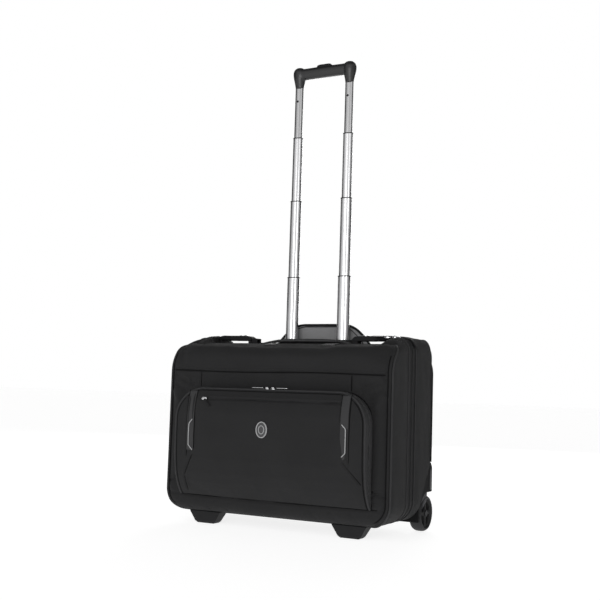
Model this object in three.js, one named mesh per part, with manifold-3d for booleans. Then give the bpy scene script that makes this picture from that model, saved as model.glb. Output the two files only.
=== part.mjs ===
// Soft-sided rolling case: two wheels, two front feet, a four-stage telescoping
// handle, a book-opening main compartment and a zipped front pocket.
// Millimetres, +Z up, +Y to the back, origin on the floor under the middle.
import * as THREE from 'three';
import { mergeVertices } from 'three/addons/utils/BufferGeometryUtils.js';
import Module from 'manifold-3d';

const wasm = await Module();
wasm.setup();

// ---------------------------------------------------------------- dimensions
const GAP = 0.3; // running gap kept between neighbouring solids

const HALF_WIDTH = 275; // main body, half of its width along X
const FRONT_Y = -111; // main front face
const SPLIT_Y = 7; // middle of the main zip
const BACK_Y = 134; // back face
const BODY_BOTTOM = 28;
const TOP_FRONT = 407; // top edge above the front roll
const TOP_BACK = 415; // top edge above the back roll
const WALL = 5; // padded fabric wall
const CORNER_BOTTOM = 48;
const CORNER_TOP = 60;
const FRONT_TOP_ROLL = 36;
const FRONT_BOTTOM_ROLL = 24;
const BACK_TOP_ROLL = 20;
const ROLL_END_Y = FRONT_Y + FRONT_TOP_ROLL;

const SHOULDER_Z = 424; // padded shoulders at both ends of the top
const SHOULDER_X = 225; // centre of the shoulder's outer arc
const SHOULDER_R = HALF_WIDTH - SHOULDER_X;
const SHOULDER_FLAT_X = 216;
const SHOULDER_FOOT_X = 200;
const SHOULDER_Y0 = FRONT_Y + 50;
const SHOULDER_Y1 = 104;

const TAPE_HALF = 5; // width of one half of the main zip tape
const TAPE_DEPTH = 4;
const SPINE_Z0 = 76;
const SPINE_Z1 = 346;

const WHEEL_R = 40;
const WHEEL_Y = 121;
const WHEEL_X0 = 240; // inner face of the tyre
const WHEEL_X1 = 266.5; // outer face of the tyre
const TYRE_INNER_R = 31.5;
const HUB_X0 = 242.5;
const HUB_X1 = 263;
const AXLE_R = 4;
const AXLE_BORE_R = 4.1;
const WELL_R = 46;
const HOUSING_X0 = 226;
const HOUSING_X1 = 272;
const HOUSING_PLATE = 5;

const FOOT_X = 179;
const FOOT_Y = -78;
const FOOT_TOP_HALF = 41;
const FOOT_BASE_HALF = 21.5;
const FOOT_HALF_DEPTH = 17;

const POST_X = 67.5; // telescoping tubes, centre line
const POST_Y = 86;
const TUBE_WALL = 1.2;
const LIP = 2; // plastic lip on top of each moving tube
const BEZEL_TOP = 424;
const BASE_TUBE = { w: 32, d: 23, z0: 55, z1: 407 };
const STAGE_A = { w: 29, d: 20, z0: 215, rim: 575.5 };
const STAGE_B = { w: 26, d: 17, z0: 405, rim: 761.8 };
const STAGE_C = { w: 23, d: 14, z0: 562, rim: 918.3 };
const STAGE_D = { w: 20, d: 11, z0: 690, z1: 1055 };

const GRIP_BOTTOM = 1041;
const GRIP_BAR_BOTTOM = 1062;
const GRIP_TOP = 1091;
const GRIP_HALF = 85;
const GRIP_HALF_DEPTH = 15;
const BUTTON_TOP = 1096;
const BUTTON_TRAVEL = 4;

const POCKET_HALF = 232;
const POCKET_TOP = 303;
const POCKET_BOTTOM = 66;
const POCKET_CORNER = 67;
const POCKET_SPLIT_Y = FRONT_Y - 19; // the pocket's zip runs round here
const POCKET_FACE_Y = FRONT_Y - 46;
const POCKET_WALL = 4;
const POCKET_TOP_LEAN = 14; // how far the face leans back at its top edge
const POCKET_TOP_BEND = 18; // height of the leaning part
const POCKET_FULL_HIGH = 53; // the face is at its fullest this far below the top
const POCKET_FULL_LOW = 84; // and from this far above the bottom
const BADGE_Z = 218.5;
const BADGE_HALF_WIDTH = 14;
const BADGE_HALF_HEIGHT = 19;
const BADGE_THICK = 3.7;

const STRAP_Y0 = 16; // end straps, across their width
const STRAP_Y1 = 38;
const STRAP_THICK = 3;
const CLIP_X0 = 121; // clip at the free end of a strap
const CLIP_X1 = 180;
const CLIP_BOTTOM = 424.2;
const CLIP_TOP = 436;
const CARRY_Y = 39; // carry handle, centre line
const CARRY_HALF = 110;
const CARRY_HALF_WIDTH = 13;
const CARRY_CREST = 421.5;
const CARRY_END = 418.2;
const LEG_FOOT = 386; // the handle's legs end inside the bag

const FLAP_Y0 = 107; // arched flap behind the posts
const FLAP_Y1 = 115;
const FLAP_TOP = 461.5;
const FLAP_HALF = 121;

const COVER_HALF = 105; // fabric channel over the tubes, inside the bag
const COVER_FRONT = 66;
const COVER_TOP = 392;
const COVER_SHEET = 2.5;
const BEZEL_HALF = 97;
const BEZEL_Y0 = 66;
const BEZEL_Y1 = 105;
const BRACKET_HALF = 94;
const BRACKET_Y0 = 71;
const BRACKET_Y1 = 101;
const BRACKET_BOTTOM = 38;

const BACK_PANEL = { half: 200, z0: 90, z1: 372, r: 28, thick: 4 };
const KICK_PLATE = { half: 222, z0: 26, z1: 76, r: 8, thick: 5 };

// ----------------------------------------------------------------- materials
const paint = (color, roughness, metalness = 0) => ({ color, roughness, metalness });
const FABRIC = paint(0x26262a, 0.9);
const LINING = paint(0x3a3a3f, 0.85);
const TAPE = paint(0x3c3c40, 0.8);
const PLASTIC = paint(0x151517, 0.5);
const SATIN_PLASTIC = paint(0x1c1c1f, 0.35);
const RUBBER = paint(0x101012, 0.8);
const ALUMINIUM = paint(0xb8babd, 0.3, 1);
const STEEL = paint(0x8c8f93, 0.35, 1);
const NICKEL = paint(0xc9cacc, 0.25, 1);

const model = new THREE.Group();

function add(name, geometry, finish) {
  const mesh = new THREE.Mesh(geometry, new THREE.MeshStandardMaterial(finish));
  mesh.name = name;
  model.add(mesh);
  return mesh;
}

// ------------------------------------------------------------ solid geometry
function toSolid(geometry) {
  const bare = geometry.clone();
  bare.deleteAttribute('normal');
  bare.deleteAttribute('uv');
  const merged = mergeVertices(bare, 1e-4);
  return new wasm.Manifold(new wasm.Mesh({
    numProp: 3,
    vertProperties: new Float32Array(merged.attributes.position.array),
    triVerts: new Uint32Array(merged.index.array),
  }));
}

function toGeometry(solid) {
  const mesh = solid.getMesh();
  const geometry = new THREE.BufferGeometry();
  geometry.setAttribute('position', new THREE.BufferAttribute(new Float32Array(mesh.vertProperties), 3));
  geometry.setIndex(new THREE.BufferAttribute(new Uint32Array(mesh.triVerts), 1));
  return geometry;
}

function joined(...geometries) {
  return toGeometry(geometries.map(toSolid).reduce((sum, next) => sum.add(next)));
}

function carved(base, ...cutters) {
  return toGeometry(cutters.map(toSolid).reduce((sum, next) => sum.subtract(next), toSolid(base)));
}

function common(first, second) {
  return toGeometry(toSolid(first).intersect(toSolid(second)));
}

function block(x0, x1, y0, y1, z0, z1) {
  const box = new THREE.BoxGeometry(x1 - x0, y1 - y0, z1 - z0);
  return box.translate((x0 + x1) / 2, (y0 + y1) / 2, (z0 + z1) / 2);
}

// A shape drawn in X and Z, extruded from y0 to y1.
function alongY(shape, y0, y1, curveSegments = 6) {
  const solid = new THREE.ExtrudeGeometry(shape, { depth: y1 - y0, bevelEnabled: false, curveSegments });
  return solid.rotateX(Math.PI / 2).translate(0, y1, 0);
}

// A shape drawn in Y and Z, extruded from x0 to x1.
function alongX(shape, x0, x1, curveSegments = 6) {
  const solid = new THREE.ExtrudeGeometry(shape, { depth: x1 - x0, bevelEnabled: false, curveSegments });
  const turn = new THREE.Matrix4().makeBasis(
    new THREE.Vector3(0, 1, 0),
    new THREE.Vector3(0, 0, 1),
    new THREE.Vector3(1, 0, 0),
  );
  return solid.applyMatrix4(turn).translate(x0, 0, 0);
}

// A shape drawn in X and Y, extruded from z0 to z1.
function alongZ(shape, z0, z1, curveSegments = 6) {
  const solid = new THREE.ExtrudeGeometry(shape, { depth: z1 - z0, bevelEnabled: false, curveSegments });
  return solid.translate(0, 0, z0);
}

// A ring or disc turned about the X axis through (y, z); the profile holds radius and x.
function turned(profile, y, z, segments) {
  const points = profile.map(([radius, x]) => new THREE.Vector2(radius, x));
  const lathe = new THREE.LatheGeometry(points, segments);
  return lathe.rotateZ(-Math.PI / 2).translate(0, y, z);
}

function polygon(points) {
  const shape = new THREE.Shape();
  points.forEach(([a, b], i) => (i ? shape.lineTo(a, b) : shape.moveTo(a, b)));
  shape.closePath();
  return shape;
}

function mirrored(geometry) {
  const flipped = geometry.clone().scale(-1, 1, 1);
  const index = flipped.index;
  if (index) {
    for (let i = 0; i < index.count; i += 3) {
      const kept = index.getX(i);
      index.setX(i, index.getX(i + 2));
      index.setX(i + 2, kept);
    }
    return flipped;
  }
  const position = flipped.attributes.position;
  const first = new THREE.Vector3();
  const last = new THREE.Vector3();
  for (let i = 0; i < position.count; i += 3) {
    first.fromBufferAttribute(position, i);
    last.fromBufferAttribute(position, i + 2);
    position.setXYZ(i, last.x, last.y, last.z);
    position.setXYZ(i + 2, first.x, first.y, first.z);
  }
  return flipped;
}

// A strip of even thickness whose middle line runs through the points.
function ribbonShape(points, thickness) {
  const upper = [];
  const lower = [];
  points.forEach(([x, z], i) => {
    const [xa, za] = points[Math.max(i - 1, 0)];
    const [xb, zb] = points[Math.min(i + 1, points.length - 1)];
    const length = Math.hypot(xb - xa, zb - za);
    const nx = (-(zb - za) / length) * (thickness / 2);
    const nz = ((xb - xa) / length) * (thickness / 2);
    upper.push([x + nx, z + nz]);
    lower.unshift([x - nx, z - nz]);
  });
  return polygon([...lower, ...upper].reverse());
}

function roundedRect(x0, x1, z0, z1, r) {
  const shape = new THREE.Shape();
  shape.moveTo(x0 + r, z0);
  shape.lineTo(x1 - r, z0);
  shape.absarc(x1 - r, z0 + r, r, -Math.PI / 2, 0);
  shape.lineTo(x1, z1 - r);
  shape.absarc(x1 - r, z1 - r, r, 0, Math.PI / 2);
  shape.lineTo(x0 + r, z1);
  shape.absarc(x0 + r, z1 - r, r, Math.PI / 2, Math.PI);
  shape.lineTo(x0, z0 + r);
  shape.absarc(x0 + r, z0 + r, r, Math.PI, Math.PI * 1.5);
  shape.closePath();
  return shape;
}

// ------------------------------------------------------------ body outlines
// The bag seen from the front, drawn smaller by the inset.
function bodyOutline(inset, top) {
  const x = HALF_WIDTH - inset;
  const bottom = BODY_BOTTOM + inset;
  const rb = CORNER_BOTTOM - inset;
  const rt = CORNER_TOP - inset;
  const shape = new THREE.Shape();
  shape.moveTo(-x + rb, bottom);
  shape.lineTo(x - rb, bottom);
  shape.absarc(x - rb, bottom + rb, rb, -Math.PI / 2, 0);
  shape.lineTo(x, top - inset - rt);
  shape.absarc(x - rt, top - inset - rt, rt, 0, Math.PI / 2);
  shape.lineTo(-x + rt, top - inset);
  shape.absarc(-x + rt, top - inset - rt, rt, Math.PI / 2, Math.PI);
  shape.lineTo(-x, bottom + rb);
  shape.absarc(-x + rb, bottom + rb, rb, Math.PI, Math.PI * 1.5);
  shape.closePath();
  return shape;
}

// The same outline with the raised padded shoulders.
function shoulderOutline(inset, top) {
  const x = HALF_WIDTH - inset;
  const bottom = BODY_BOTTOM + inset;
  const rb = CORNER_BOTTOM - inset;
  const r = SHOULDER_R - inset;
  const arcZ = SHOULDER_Z - SHOULDER_R;
  const crest = SHOULDER_Z - inset;
  const dip = top - inset;
  const half = (SHOULDER_FLAT_X + SHOULDER_FOOT_X) / 2;
  const shape = new THREE.Shape();
  shape.moveTo(-x + rb, bottom);
  shape.lineTo(x - rb, bottom);
  shape.absarc(x - rb, bottom + rb, rb, -Math.PI / 2, 0);
  shape.lineTo(x, arcZ);
  shape.absarc(SHOULDER_X, arcZ, r, 0, Math.PI / 2);
  shape.lineTo(SHOULDER_FLAT_X, crest);
  shape.bezierCurveTo(half, crest, half, dip, SHOULDER_FOOT_X, dip);
  shape.lineTo(-SHOULDER_FOOT_X, dip);
  shape.bezierCurveTo(-half, dip, -half, crest, -SHOULDER_FLAT_X, crest);
  shape.lineTo(-SHOULDER_X, crest);
  shape.absarc(-SHOULDER_X, arcZ, r, Math.PI / 2, Math.PI);
  shape.lineTo(-x, bottom + rb);
  shape.absarc(-x + rb, bottom + rb, rb, Math.PI, Math.PI * 1.5);
  shape.closePath();
  return shape;
}

// The bag seen from its right end: rolled front edges, a rounded back edge.
function endProfile(inset) {
  const front = FRONT_Y + inset;
  const back = BACK_Y - inset;
  const bottom = BODY_BOTTOM + inset;
  const frontTop = TOP_FRONT - inset;
  const rTop = FRONT_TOP_ROLL - inset;
  const rBottom = FRONT_BOTTOM_ROLL - inset;
  const rBack = BACK_TOP_ROLL - inset;
  const shape = new THREE.Shape();
  shape.moveTo(back, bottom);
  shape.lineTo(back, TOP_BACK - inset - rBack);
  shape.absarc(back - rBack, TOP_BACK - inset - rBack, rBack, 0, Math.PI / 2);
  shape.lineTo(front + rTop, frontTop);
  shape.absarc(front + rTop, frontTop - rTop, rTop, Math.PI / 2, Math.PI);
  shape.lineTo(front, bottom + rBottom);
  shape.absarc(front + rBottom, bottom + rBottom, rBottom, Math.PI, Math.PI * 1.5);
  shape.closePath();
  return shape;
}

// Height of the bag's top along its middle, which rises slightly to the back.
function topAt(y) {
  const run = BACK_Y - BACK_TOP_ROLL - ROLL_END_Y;
  return TOP_FRONT + ((TOP_BACK - TOP_FRONT) * (y - ROLL_END_Y)) / run;
}

function bodyBlock(inset, y0, y1) {
  const slab = alongY(bodyOutline(inset, TOP_BACK), y0, y1);
  return common(slab, alongX(endProfile(inset), -HALF_WIDTH - 1, HALF_WIDTH + 1));
}

function shoulderBlock(y0, y1) {
  return alongY(shoulderOutline(0, topAt(y0)), y0, y1);
}

// ---------------------------------------------------------------- front case
function frontShell() {
  const open = SPLIT_Y - TAPE_HALF;
  const outer = joined(bodyBlock(0, FRONT_Y, open), shoulderBlock(SHOULDER_Y0, open));
  return carved(outer, bodyBlock(WALL, FRONT_Y + WALL, open + 1));
}

function zipTape(y0, y1) {
  const outer = alongY(shoulderOutline(0, topAt(SPLIT_Y)), y0, y1);
  const inner = alongY(shoulderOutline(TAPE_DEPTH, topAt(SPLIT_Y)), y0 - 1, y1 + 1);
  const spineSide = block(-HALF_WIDTH - 1, -SHOULDER_X, y0 - 1, y1 + 1, SPINE_Z0, SPINE_Z1);
  return carved(outer, inner, spineSide);
}

function foot() {
  const front = polygon([
    [-FOOT_BASE_HALF, 0],
    [FOOT_BASE_HALF, 0],
    [FOOT_BASE_HALF + 5, 4],
    [FOOT_TOP_HALF, BODY_BOTTOM - GAP],
    [-FOOT_TOP_HALF, BODY_BOTTOM - GAP],
    [-FOOT_BASE_HALF - 5, 4],
  ]);
  const side = polygon([
    [FOOT_Y - 11, 0],
    [FOOT_Y + 13, 0],
    [FOOT_Y + FOOT_HALF_DEPTH, BODY_BOTTOM],
    [FOOT_Y - FOOT_HALF_DEPTH, BODY_BOTTOM],
    [FOOT_Y - 14, 5],
  ]);
  const slab = alongY(front, FOOT_Y - FOOT_HALF_DEPTH, FOOT_Y + FOOT_HALF_DEPTH);
  return common(slab, alongX(side, -FOOT_TOP_HALF - 1, FOOT_TOP_HALF + 1));
}

// -------------------------------------------------------------- front pocket
function pocketOutline(inset) {
  const x = POCKET_HALF - inset;
  const top = POCKET_TOP - inset;
  const r = POCKET_CORNER - inset;
  const shape = new THREE.Shape();
  shape.moveTo(-x, POCKET_BOTTOM + inset);
  shape.lineTo(x, POCKET_BOTTOM + inset);
  shape.lineTo(x, top - r);
  shape.absarc(x - r, top - r, r, 0, Math.PI / 2);
  shape.lineTo(-x + r, top);
  shape.absarc(-x + r, top - r, r, Math.PI / 2, Math.PI);
  shape.closePath();
  return shape;
}

function pocketGusset() {
  const y0 = POCKET_SPLIT_Y + GAP;
  const y1 = FRONT_Y - GAP;
  const inner = alongY(pocketOutline(POCKET_WALL), y0 - 1, y1 + 1);
  return carved(alongY(pocketOutline(0), y0, y1), inner);
}

// The pocket's face leans out from its bottom hinge and back in at the top.
function pocketProfile(inset) {
  const face = POCKET_FACE_Y + inset;
  return polygon([
    [POCKET_SPLIT_Y + inset, POCKET_BOTTOM],
    [POCKET_SPLIT_Y + inset, POCKET_TOP],
    [face + POCKET_TOP_LEAN, POCKET_TOP],
    [face + POCKET_TOP_LEAN / 3, POCKET_TOP - POCKET_TOP_BEND],
    [face, POCKET_TOP - POCKET_FULL_HIGH],
    [face, POCKET_BOTTOM + POCKET_FULL_LOW],
    [face + 6, POCKET_BOTTOM + POCKET_FULL_LOW / 2],
    [POCKET_SPLIT_Y - POCKET_WALL + inset, POCKET_BOTTOM],
  ]);
}

function pocketPanel() {
  const reach = POCKET_HALF + 1;
  const slab = alongY(pocketOutline(0), POCKET_FACE_Y - 1, POCKET_SPLIT_Y);
  const outer = common(slab, alongX(pocketProfile(0), -reach, reach));
  const hollow = alongY(pocketOutline(POCKET_WALL), POCKET_FACE_Y, POCKET_SPLIT_Y + 1);
  return carved(outer, common(hollow, alongX(pocketProfile(POCKET_WALL), -reach, reach)));
}

function badge() {
  const plate = new THREE.Shape();
  plate.absellipse(0, BADGE_Z, BADGE_HALF_WIDTH, BADGE_HALF_HEIGHT, 0, Math.PI * 2);
  const back = POCKET_FACE_Y - GAP;
  return alongY(plate, back - BADGE_THICK, back, 20);
}

// ----------------------------------------------------------------- rear case
// The side of a wheel housing: a low front wall that climbs to the corner guard.
const HOUSING_SIDE = [
  [66, 24],
  [134, 24],
  [134, 70],
  [149, 86],
  [149, 140],
  [140, 152],
  [122, 146],
  [78, 84],
  [66, 62],
];

function housingRecess() {
  const grown = [
    [66 - GAP, -1],
    [BACK_Y + 1, -1],
    [BACK_Y + 1, 152],
    [122 - GAP, 146 + GAP],
    [78 - GAP, 84 + GAP],
    [66 - GAP, 62 + GAP],
  ];
  return alongX(polygon(grown), HOUSING_X0 - GAP, HALF_WIDTH + 1);
}

function wheelWell() {
  const shape = new THREE.Shape();
  shape.moveTo(WHEEL_Y - WELL_R, -1);
  shape.lineTo(BACK_Y + 40, -1);
  shape.lineTo(BACK_Y + 40, WHEEL_R + WELL_R);
  shape.lineTo(WHEEL_Y, WHEEL_R + WELL_R);
  shape.absarc(WHEEL_Y, WHEEL_R, WELL_R, Math.PI / 2, Math.PI);
  shape.closePath();
  return alongX(shape, HOUSING_X0 + HOUSING_PLATE, HOUSING_X1 + 1, 10);
}

function axleHole() {
  const r = AXLE_R + GAP;
  return turned([[0, HOUSING_X0 - 1], [r, HOUSING_X0 - 1], [r, WHEEL_X0], [0, WHEEL_X0]], WHEEL_Y, WHEEL_R, 24);
}

function wheelHousing() {
  const side = alongX(polygon(HOUSING_SIDE), HOUSING_X0, HOUSING_X1);
  const boss = turned(
    [[0, HOUSING_X0 + 1], [11, HOUSING_X0 + 1], [11, WHEEL_X0 - 1], [0, WHEEL_X0 - 1]],
    WHEEL_Y,
    WHEEL_R,
    24,
  );
  return carved(joined(carved(side, wheelWell()), boss), axleHole());
}

function postHoles(w, d, z0, z1) {
  return [-POST_X, POST_X].map((x) => block(x - w / 2, x + w / 2, POST_Y - d / 2, POST_Y + d / 2, z0, z1));
}

const LEG_X0 = 99;
const LEG_X1 = 105;
const LEG_HALF = 8;
const ANCHOR_X0 = 93; // plate that the leg passes through
const ANCHOR_X1 = 121;
const ANCHOR_HALF = 12;
const ANCHOR_THICK = 1.7;

function legSlots(z0, z1) {
  const slot = block(LEG_X0 - 0.5, LEG_X1 + 0.5, CARRY_Y - LEG_HALF - 0.5, CARRY_Y + LEG_HALF + 0.5, z0, z1);
  return [slot, mirrored(slot)];
}

function rearShell() {
  const open = SPLIT_Y + TAPE_HALF;
  const outer = joined(bodyBlock(0, open, BACK_Y), shoulderBlock(open, SHOULDER_Y1));
  const recess = housingRecess();
  return carved(
    outer,
    bodyBlock(WALL, open - 1, BACK_Y - WALL),
    recess,
    mirrored(recess),
    ...postHoles(STAGE_A.w + 1.4, STAGE_A.d + 1.4, TOP_FRONT - 20, TOP_BACK + 5),
    ...legSlots(TOP_FRONT - 20, TOP_BACK + 5),
  );
}

function trolleyCover() {
  const half = COVER_HALF;
  const front = COVER_FRONT;
  const back = BACK_Y - WALL - GAP;
  const sheet = COVER_SHEET;
  return alongZ(
    polygon([
      [-half, back],
      [-half, front],
      [half, front],
      [half, back],
      [half - sheet, back],
      [half - sheet, front + sheet],
      [-half + sheet, front + sheet],
      [-half + sheet, back],
    ]),
    BODY_BOTTOM + WALL + GAP,
    COVER_TOP,
  );
}

function archFlap() {
  const foot = topAt(FLAP_Y1) + 1;
  const shape = new THREE.Shape();
  const bend = FLAP_HALF - 21;
  const shoulder = FLAP_HALF - 61;
  const bendZ = FLAP_TOP - 21.5;
  shape.moveTo(-FLAP_HALF, foot);
  shape.lineTo(FLAP_HALF, foot);
  shape.quadraticCurveTo(FLAP_HALF - 9, bendZ - 12, bend, bendZ);
  shape.quadraticCurveTo(FLAP_HALF - 35, FLAP_TOP - 3.5, shoulder, FLAP_TOP);
  shape.lineTo(-shoulder, FLAP_TOP);
  shape.quadraticCurveTo(-FLAP_HALF + 35, FLAP_TOP - 3.5, -bend, bendZ);
  shape.quadraticCurveTo(-FLAP_HALF + 9, bendZ - 12, -FLAP_HALF, foot);
  return alongY(shape, FLAP_Y0, FLAP_Y1, 5);
}

function bezel() {
  const outline = roundedRect(-BEZEL_HALF, BEZEL_HALF, BEZEL_Y0, BEZEL_Y1, 9);
  const plate = alongZ(outline, topAt(BEZEL_Y1) + GAP, BEZEL_TOP, 4);
  return carved(plate, ...postHoles(STAGE_A.w + 0.8, STAGE_A.d + 0.8, TOP_BACK - 5, BEZEL_TOP + 5));
}

function handleAnchor() {
  const z0 = topAt(CARRY_Y + ANCHOR_HALF) + GAP;
  const [y0, y1] = [CARRY_Y - ANCHOR_HALF, CARRY_Y + ANCHOR_HALF];
  const plate = block(ANCHOR_X0, ANCHOR_X1, y0, y1, z0, z0 + ANCHOR_THICK);
  return carved(plate, legSlots(z0 - 5, z0 + 5)[0]);
}

const LOOP_X0 = 123;
const LOOP_X1 = 138;
const LOOP_TOP = 423.5;

function strapLoop() {
  const z0 = topAt(STRAP_Y1) + GAP;
  const staple = block(LOOP_X0, LOOP_X1, STRAP_Y0 + 1, STRAP_Y1 - 1, z0, LOOP_TOP);
  return carved(staple, block(LOOP_X0 - 1, LOOP_X1 + 1, STRAP_Y0 + 4, STRAP_Y1 - 4, z0 + 1.6, LOOP_TOP - 3));
}

// -------------------------------------------------------------------- wheels
function tyre() {
  const shoulder = 5;
  return turned(
    [
      [TYRE_INNER_R, WHEEL_X0 + 1.5],
      [WHEEL_R - shoulder, WHEEL_X0],
      [WHEEL_R - 1.2, WHEEL_X0 + shoulder - 1.5],
      [WHEEL_R, WHEEL_X0 + shoulder + 3],
      [WHEEL_R, WHEEL_X1 - shoulder - 3],
      [WHEEL_R - 1.2, WHEEL_X1 - shoulder + 1.5],
      [WHEEL_R - shoulder, WHEEL_X1],
      [TYRE_INNER_R, WHEEL_X1 - 1.5],
      [TYRE_INNER_R, WHEEL_X0 + 1.5],
    ],
    WHEEL_Y,
    WHEEL_R,
    36,
  );
}

// Four quarter arcs, so that the circle is as fine as the arcs beside it.
function addCircle(path, cx, cy, r, clockwise) {
  const step = (clockwise ? -1 : 1) * (Math.PI / 2);
  path.moveTo(cx + r, cy);
  for (let k = 0; k < 4; k += 1) path.absarc(cx, cy, r, k * step, (k + 1) * step, clockwise);
  return path;
}

// Hub with four spokes: a disc with four windows and a bore.
function hub() {
  const disc = addCircle(new THREE.Shape(), WHEEL_Y, WHEEL_R, TYRE_INNER_R - GAP, false);
  disc.holes.push(addCircle(new THREE.Path(), WHEEL_Y, WHEEL_R, AXLE_BORE_R, true));
  const rimR = 27;
  const bossR = 10;
  const spokeHalf = 4;
  for (let k = 0; k < 4; k += 1) {
    const start = (k * Math.PI) / 2;
    const outerTurn = Math.asin(spokeHalf / rimR);
    const innerTurn = Math.asin(spokeHalf / bossR);
    const gap = new THREE.Path();
    gap.absarc(WHEEL_Y, WHEEL_R, rimR, start + outerTurn, start + Math.PI / 2 - outerTurn, false);
    gap.absarc(WHEEL_Y, WHEEL_R, bossR, start + Math.PI / 2 - innerTurn, start + innerTurn, true);
    gap.closePath();
    disc.holes.push(gap);
  }
  return alongX(disc, HUB_X0, HUB_X1, 8);
}

function axle() {
  const head = HUB_X1 + GAP;
  return turned(
    [[0, HOUSING_X0 + 1], [AXLE_R, HOUSING_X0 + 1], [AXLE_R, head], [7.5, head], [7, head + 2.4], [0, head + 2.4]],
    WHEEL_Y,
    WHEEL_R,
    32,
  );
}

// -------------------------------------------------------- telescoping handle
function tube({ w, d }, x, z0, z1, cornerR = 4) {
  const outer = roundedRect(x - w / 2, x + w / 2, POST_Y - d / 2, POST_Y + d / 2, cornerR);
  const bore = roundedRect(
    x - w / 2 + TUBE_WALL,
    x + w / 2 - TUBE_WALL,
    POST_Y - d / 2 + TUBE_WALL,
    POST_Y + d / 2 - TUBE_WALL,
    cornerR - TUBE_WALL,
  );
  outer.holes.push(bore);
  return alongZ(outer, z0, z1, 2);
}

// Plastic lip that closes the mouth of a tube round the next, thinner one.
function lip(stage, next, x) {
  const w = stage.w + 1.6;
  const d = stage.d + 1.6;
  const ring = roundedRect(x - w / 2, x + w / 2, POST_Y - d / 2, POST_Y + d / 2, 4.5);
  const nw = next.w + 0.6;
  const nd = next.d + 0.6;
  ring.holes.push(roundedRect(x - nw / 2, x + nw / 2, POST_Y - nd / 2, POST_Y + nd / 2, 4.2));
  return alongZ(ring, stage.rim - LIP + GAP, stage.rim, 2);
}

function gripBody() {
  const shape = new THREE.Shape();
  const inner = POST_X - 13;
  const outer = POST_X + 12;
  shape.moveTo(-inner, GRIP_BOTTOM);
  shape.quadraticCurveTo(-inner + 3, GRIP_BAR_BOTTOM, -inner + 18, GRIP_BAR_BOTTOM);
  shape.lineTo(inner - 18, GRIP_BAR_BOTTOM);
  shape.quadraticCurveTo(inner - 3, GRIP_BAR_BOTTOM, inner, GRIP_BOTTOM);
  shape.lineTo(outer, GRIP_BOTTOM);
  shape.quadraticCurveTo(outer + 1, GRIP_BAR_BOTTOM - 8, GRIP_HALF, GRIP_BAR_BOTTOM + 4);
  shape.quadraticCurveTo(GRIP_HALF + 1, GRIP_TOP, GRIP_HALF - 20, GRIP_TOP);
  shape.lineTo(-GRIP_HALF + 20, GRIP_TOP);
  shape.quadraticCurveTo(-GRIP_HALF - 1, GRIP_TOP, -GRIP_HALF, GRIP_BAR_BOTTOM + 4);
  shape.quadraticCurveTo(-outer - 1, GRIP_BAR_BOTTOM - 8, -outer, GRIP_BOTTOM);
  shape.closePath();
  const y0 = POST_Y - GRIP_HALF_DEPTH;
  const y1 = POST_Y + GRIP_HALF_DEPTH;
  const side = roundedRect(y0, y1, GRIP_BOTTOM - 30, GRIP_TOP, 9);
  const bar = common(alongY(shape, y0, y1, 6), alongX(side, -GRIP_HALF - 5, GRIP_HALF + 5, 4));
  const sockets = postHoles(STAGE_D.w + 0.6, STAGE_D.d + 0.6, GRIP_BOTTOM - 1, STAGE_D.z1 + GAP);
  const buttonWell = alongZ(
    roundedRect(-20, 20, POST_Y - 8.5, POST_Y + 8.5, 6),
    BUTTON_TOP - 12 - BUTTON_TRAVEL - GAP,
    GRIP_TOP + 1,
    4,
  );
  return carved(bar, ...sockets, buttonWell);
}

function gripButton() {
  const lower = alongZ(roundedRect(-19.6, 19.6, POST_Y - 8.1, POST_Y + 8.1, 5.7), BUTTON_TOP - 12, BUTTON_TOP - 2, 4);
  const crown = alongZ(roundedRect(-17, 17, POST_Y - 6, POST_Y + 6, 4.5), BUTTON_TOP - 3, BUTTON_TOP, 4);
  return joined(lower, crown);
}

// ------------------------------------------------------ carry handle, straps
function carryHandle() {
  const rise = [
    [CARRY_HALF, CARRY_END],
    [CARRY_HALF - 25, CARRY_END + 1.3],
    [CARRY_HALF - 50, CARRY_CREST],
  ];
  const fall = rise.map(([x, z]) => [-x, z]).reverse();
  const strip = ribbonShape([...rise, ...fall].reverse(), 6);
  const pad = alongY(strip, CARRY_Y - CARRY_HALF_WIDTH, CARRY_Y + CARRY_HALF_WIDTH);
  const leg = block(LEG_X0, LEG_X1, CARRY_Y - LEG_HALF, CARRY_Y + LEG_HALF, LEG_FOOT + 2, CARRY_END);
  const stop = block(LEG_X0, LEG_X1, CARRY_Y - LEG_HALF - 4, CARRY_Y + LEG_HALF + 4, LEG_FOOT, LEG_FOOT + 4);
  return joined(pad, leg, stop, mirrored(leg), mirrored(stop));
}

const STRAP_R = SHOULDER_R + 2.5; // middle of the strap where it hugs the shoulder

function endStrap() {
  const arcZ = SHOULDER_Z - SHOULDER_R;
  const points = [60, 50, 40, 30, 20].map((degrees) => {
    const turn = THREE.MathUtils.degToRad(degrees);
    return [SHOULDER_X + STRAP_R * Math.sin(turn), arcZ + STRAP_R * Math.cos(turn)];
  });
  points.push([SHOULDER_X + 1, 428.5], [205, 430.3], [CLIP_X1 + GAP, 430.3]);
  return alongY(ribbonShape(points.reverse(), STRAP_THICK), STRAP_Y0, STRAP_Y1);
}

function strapClip() {
  const body = polygon([
    [CLIP_X0, CLIP_BOTTOM],
    [CLIP_X1 - 8, CLIP_BOTTOM],
    [CLIP_X1, CLIP_BOTTOM + 2.8],
    [CLIP_X1, CLIP_TOP - 2],
    [CLIP_X1 - 10, CLIP_TOP],
    [CLIP_X0 + 7, CLIP_TOP - 1],
    [CLIP_X0, CLIP_TOP - 5],
  ]);
  return alongY(body, STRAP_Y0 - 1, STRAP_Y1 + 1);
}

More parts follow.
